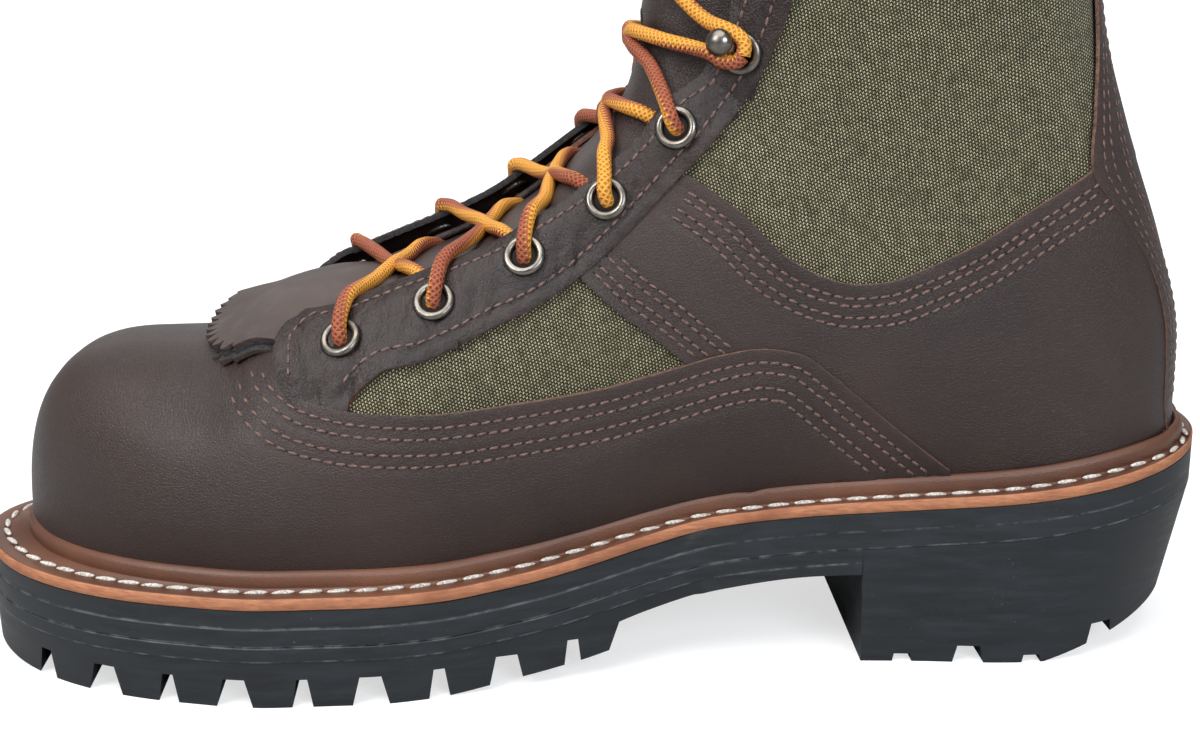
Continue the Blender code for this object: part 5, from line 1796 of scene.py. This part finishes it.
def make_heel():
    stations = foot_stations(BREAST_X, HEEL_END_X, 60)
    back_x = HEEL_END_X + SECTIONS[int(ROW["heel end"])].margin
    taper = (HEEL_FOOT_BACK_X - HEEL_FOOT_FRONT_X) / (back_x - BREAST_X)
    bm = bmesh.new()
    loops = []
    for share in (0.0, 0.02, 0.3, 0.6, 0.97, 1.0):
        edges = outline_loop(bm, stations, 0.0, outsole_top)
        for vertex in {v for edge in edges for v in edge.verts}:
            x, y, z = boot_point(vertex.co)
            foot_x = HEEL_FOOT_FRONT_X + (x - BREAST_X) * taper
            foot = np.array([foot_x, y * heel_foot_width(foot_x), heel_foot_z(foot_x)])
            vertex.co = place(np.array([x, y, z]) * (1.0 - share) + foot * share)
        loops.append(edges)
    stacked_solid(bm, loops)
    heel = finish_piece("rubber_heel", bm, [RUBBER], ["heel"])
    notches = bmesh.new()
    for notch in HEEL_NOTCHES:
        high = heel_foot_z(notch.x) + notch.high
        gap_prism(notches, notch.x, notch.widths, -HEEL_CUT_Y, HEEL_CUT_Y, UNDER_SOLE_Z, high)
    carve(heel, [notches])


# Welt

def wall_line(side, up):
    """Plan of the upper's wall on one side at a height above the welt's underside."""
    line = []
    for u in np.linspace(0.0, ROW["counter"], 400):
        points, _, _, _ = section_curve(u, side)
        over = points[:, 2] - (welt_top(points[:, 0]) - WELT_THICK + up)
        first = int(np.argmax(over >= 0.0))
        if over[first] < 0.0 or (first == 0 and u > ROW["heel end"]):
            continue
        share = over[first - 1] / (over[first - 1] - over[first]) if first else 0.0
        line.append(points[first - 1, :2] + share * (points[first, :2] - points[first - 1, :2]))
    return np.array(line)


def wall_reach(u, side, line):
    """How far a wall line stands out from the upper's base, along the sole's outward direction."""
    base = edge_point(u, side, 0.0)
    if u <= 0.0 or u >= ROW["heel end"]:
        return float(abs(line[0 if u <= 0.0 else -1, 0]) - abs(base[0]))
    normal = plan_normal(u, side)
    near = line[np.linalg.norm(line - base, axis=1) < NEAR_WALL]
    abreast = near[np.argmin(np.abs((near - base) @ np.array([normal[1], -normal[0]])))]
    return float((abreast - base) @ normal)


STITCH_LINE = 4.2
WELT_STITCH_PITCH = 6.3
WELT_STITCH_SLANT = 0.16
WELT_JOINT_X = 35.5
WELT_JOINT_HALF = 0.9
CUT_EDGE_BANDS = (1, 2, 3)


def make_welt():
    """Welt strip with a stitch groove, its storm rib against the upper and its cut edge."""
    stations = foot_stations(TOE_TIP_X, HEEL_END_X, 130)
    path = [(u, -1) for u in stations] + [(u, 1) for u in stations[-2:0:-1]]
    foot_line = {side: wall_line(side, WELT_THICK) for side in (-1, 1)}
    top_line = {side: wall_line(side, WELT_THICK + RIB_HIGH) for side in (-1, 1)}
    bm = bmesh.new()
    rings = []
    seam = []
    for u, side in path:
        low = max(wall_reach(u, side, foot_line[side]), 0.0) + WELT_CLEAR - SKIN_DROP
        high = max(wall_reach(u, side, top_line[side]) + WELT_CLEAR - SKIN_DROP, low)
        edge = float(column("margin", u))
        stitch = max(edge - STITCH_LINE, high + RIB_WIDE * 0.75 + 1.0)
        wide = min(RIB_WIDE, stitch - 1.0 - high)
        top = WELT_THICK + RIB_HIGH
        profile = [
            (low, 0.0), (edge - 0.25, 0.0), (edge, 0.25), (edge, 2.5), (edge - 0.3, 2.8), (edge - 0.8, 2.9),
            (stitch + 1.0, 3.0), (stitch + 0.6, 2.6), (stitch - 0.6, 2.6), (stitch - 0.9, 2.9),
            (high + wide * 1.02, 3.1), (high + wide * 1.06, 3.5), (high + wide * 1.08, top - 1.5),
            (high + wide * 0.94, top - 0.6), (high + wide * 0.66, top - 0.1), (high + wide * 0.35, top),
            (high + wide * 0.12, top - 0.4), (high, top - 1.2),
        ]
        at = edge_point(u, side, edge)
        base_z = float(welt_top(at[0])) - WELT_THICK
        notch = math.exp(-(((at[0] - WELT_JOINT_X) / WELT_JOINT_HALF) ** 2)) if side < 0 else 0.0
        ring = []
        for reach, up in profile:
            sunk = 0.4 * notch * max(up - 2.0, 0.0) ** 0.8
            ring.append((*edge_point(u, side, reach), base_z + up - sunk))
        rings.append(ring)
        seam.append((*edge_point(u, side, stitch), base_z + 2.9))
    loops = []
    for j in range(len(rings[0])):
        verts = [bm.verts.new(place(ring[j])) for ring in rings]
        loops.append([bm.edges.new((verts[k - 1], verts[k])) for k in range(len(verts))])
    edge_faces = []
    for j, loop in enumerate(loops):
        made = bmesh.ops.bridge_loops(bm, edges=loop + loops[(j + 1) % len(loops)])
        if j in CUT_EDGE_BANDS:
            edge_faces += made["faces"]
    for face in edge_faces:
        face.material_index = 1
    bmesh.ops.recalc_face_normals(bm, faces=bm.faces)
    finish_piece("stitched_welt", bm, [WELT, WELT_EDGE], ["welt"])
    spots = spaced(np.array(seam + seam[:1]), WELT_STITCH_PITCH)
    lock = Stitching(5.6, 1.45, 1.2)
    for before, now, after in zip(np.roll(spots, 1, axis=0), spots, np.roll(spots, -1, axis=0)):
        lock.put(place(now), Vector(after - before), Vector((0.0, 0.0, 1.0)), WELT_STITCH_SLANT)
    lock.make("welt_stitches", WELT_THREAD)


make_upper()
make_vamp()
make_quarters()
make_eyestays()
make_backstay()
make_keeper(make_tongue())
make_kiltie()
make_eyelets()
make_hooks()
make_laces()
make_midsole()
make_outsole()
make_heel()
make_welt()
panel_stitches.make("panel_stitches", PANEL_THREAD)
needle_hole_shades.make("needle_hole_shades", HOLE_SHADE)
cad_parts["insole"].material_slots[0].material = LINING


# Stage, in metres

LIGHT_AIM = (0.0, 0.0, 0.08)
FLOOR_HALF = 12.0
PAPER_GLOW = 0.65
STUDIO_STRENGTH = 0.27
OVERHEAD_STRENGTH = 2.9
OVERHEAD_SPREAD = math.radians(60.0)
OVERHEAD_AIM = (0.2, 0.22, -1.0)


def soft_light(name, location, size, power, tint=(1.0, 1.0, 1.0)):
    lamp = bpy.data.lights.new(name, "AREA")
    lamp.shape = "RECTANGLE"
    lamp.size = size[0]
    lamp.size_y = size[1]
    lamp.energy = power
    lamp.color = tint
    made = bpy.data.objects.new(name, lamp)
    made.location = location
    made.visible_camera = False
    made.rotation_euler = (Vector(LIGHT_AIM) - Vector(location)).to_track_quat("-Z", "Y").to_euler()
    bpy.context.scene.collection.objects.link(made)


def make_stage():
    bm = bmesh.new()
    bmesh.ops.create_grid(bm, x_segments=1, y_segments=1, size=FLOOR_HALF)
    mesh = bpy.data.meshes.new("pale_floor")
    bm.to_mesh(mesh)
    bm.free()
    paper = Finish("pale_paper", 0.95)
    paper.set("Base Color", (0.45, 0.45, 0.45, 1.0))
    paper.set("Specular IOR Level", 0.0)
    paper.set("Emission Color", (1.0, 1.0, 1.0, 1.0))
    ray = paper.add("ShaderNodeLightPath")
    paper.set("Emission Strength", paper.math("MULTIPLY", ray.outputs["Is Camera Ray"], PAPER_GLOW))
    mesh.materials.append(paper.material)
    floor = bpy.data.objects.new("pale_floor", mesh)
    bpy.context.scene.collection.objects.link(floor)
    world = bpy.data.worlds.new("studio")
    world.use_nodes = True
    backdrop = world.node_tree.nodes["Background"]
    backdrop.inputs["Color"].default_value = (0.94, 0.97, 1.0, 1.0)
    backdrop.inputs["Strength"].default_value = STUDIO_STRENGTH
    bpy.context.scene.world = world
    sky = bpy.data.lights.new("broad_overhead", "SUN")
    sky.energy = OVERHEAD_STRENGTH
    sky.angle = OVERHEAD_SPREAD
    lamp = bpy.data.objects.new("broad_overhead", sky)
    lamp.rotation_euler = Vector(OVERHEAD_AIM).to_track_quat("-Z", "Y").to_euler()
    bpy.context.scene.collection.objects.link(lamp)
    soft_light("back_softbox", (0.0, 1.3, 0.65), (1.8, 1.0), 4.0)
    soft_light("key_softbox", (-0.9, -0.8, 0.9), (0.6, 0.6), 12.0)
    soft_light("front_softbox", (0.5, -1.2, 0.7), (0.7, 0.5), 12.0, (0.87, 0.92, 1.0))


def make_camera():
    lens = bpy.data.cameras.new("camera")
    lens.sensor_width = 36.0
    lens.lens = CAMERA_LENS
    lens.clip_start = 0.01
    lens.dof.use_dof = False
    made = bpy.data.objects.new("camera", lens)
    eye = place(CAMERA_EYE)
    made.location = eye
    made.rotation_euler = (place(CAMERA_TARGET) - eye).to_track_quat("-Z", "Y").to_euler()
    bpy.context.scene.collection.objects.link(made)
    bpy.context.scene.camera = made


make_stage()
make_camera()
bpy.context.scene.view_settings.view_transform = "Standard"
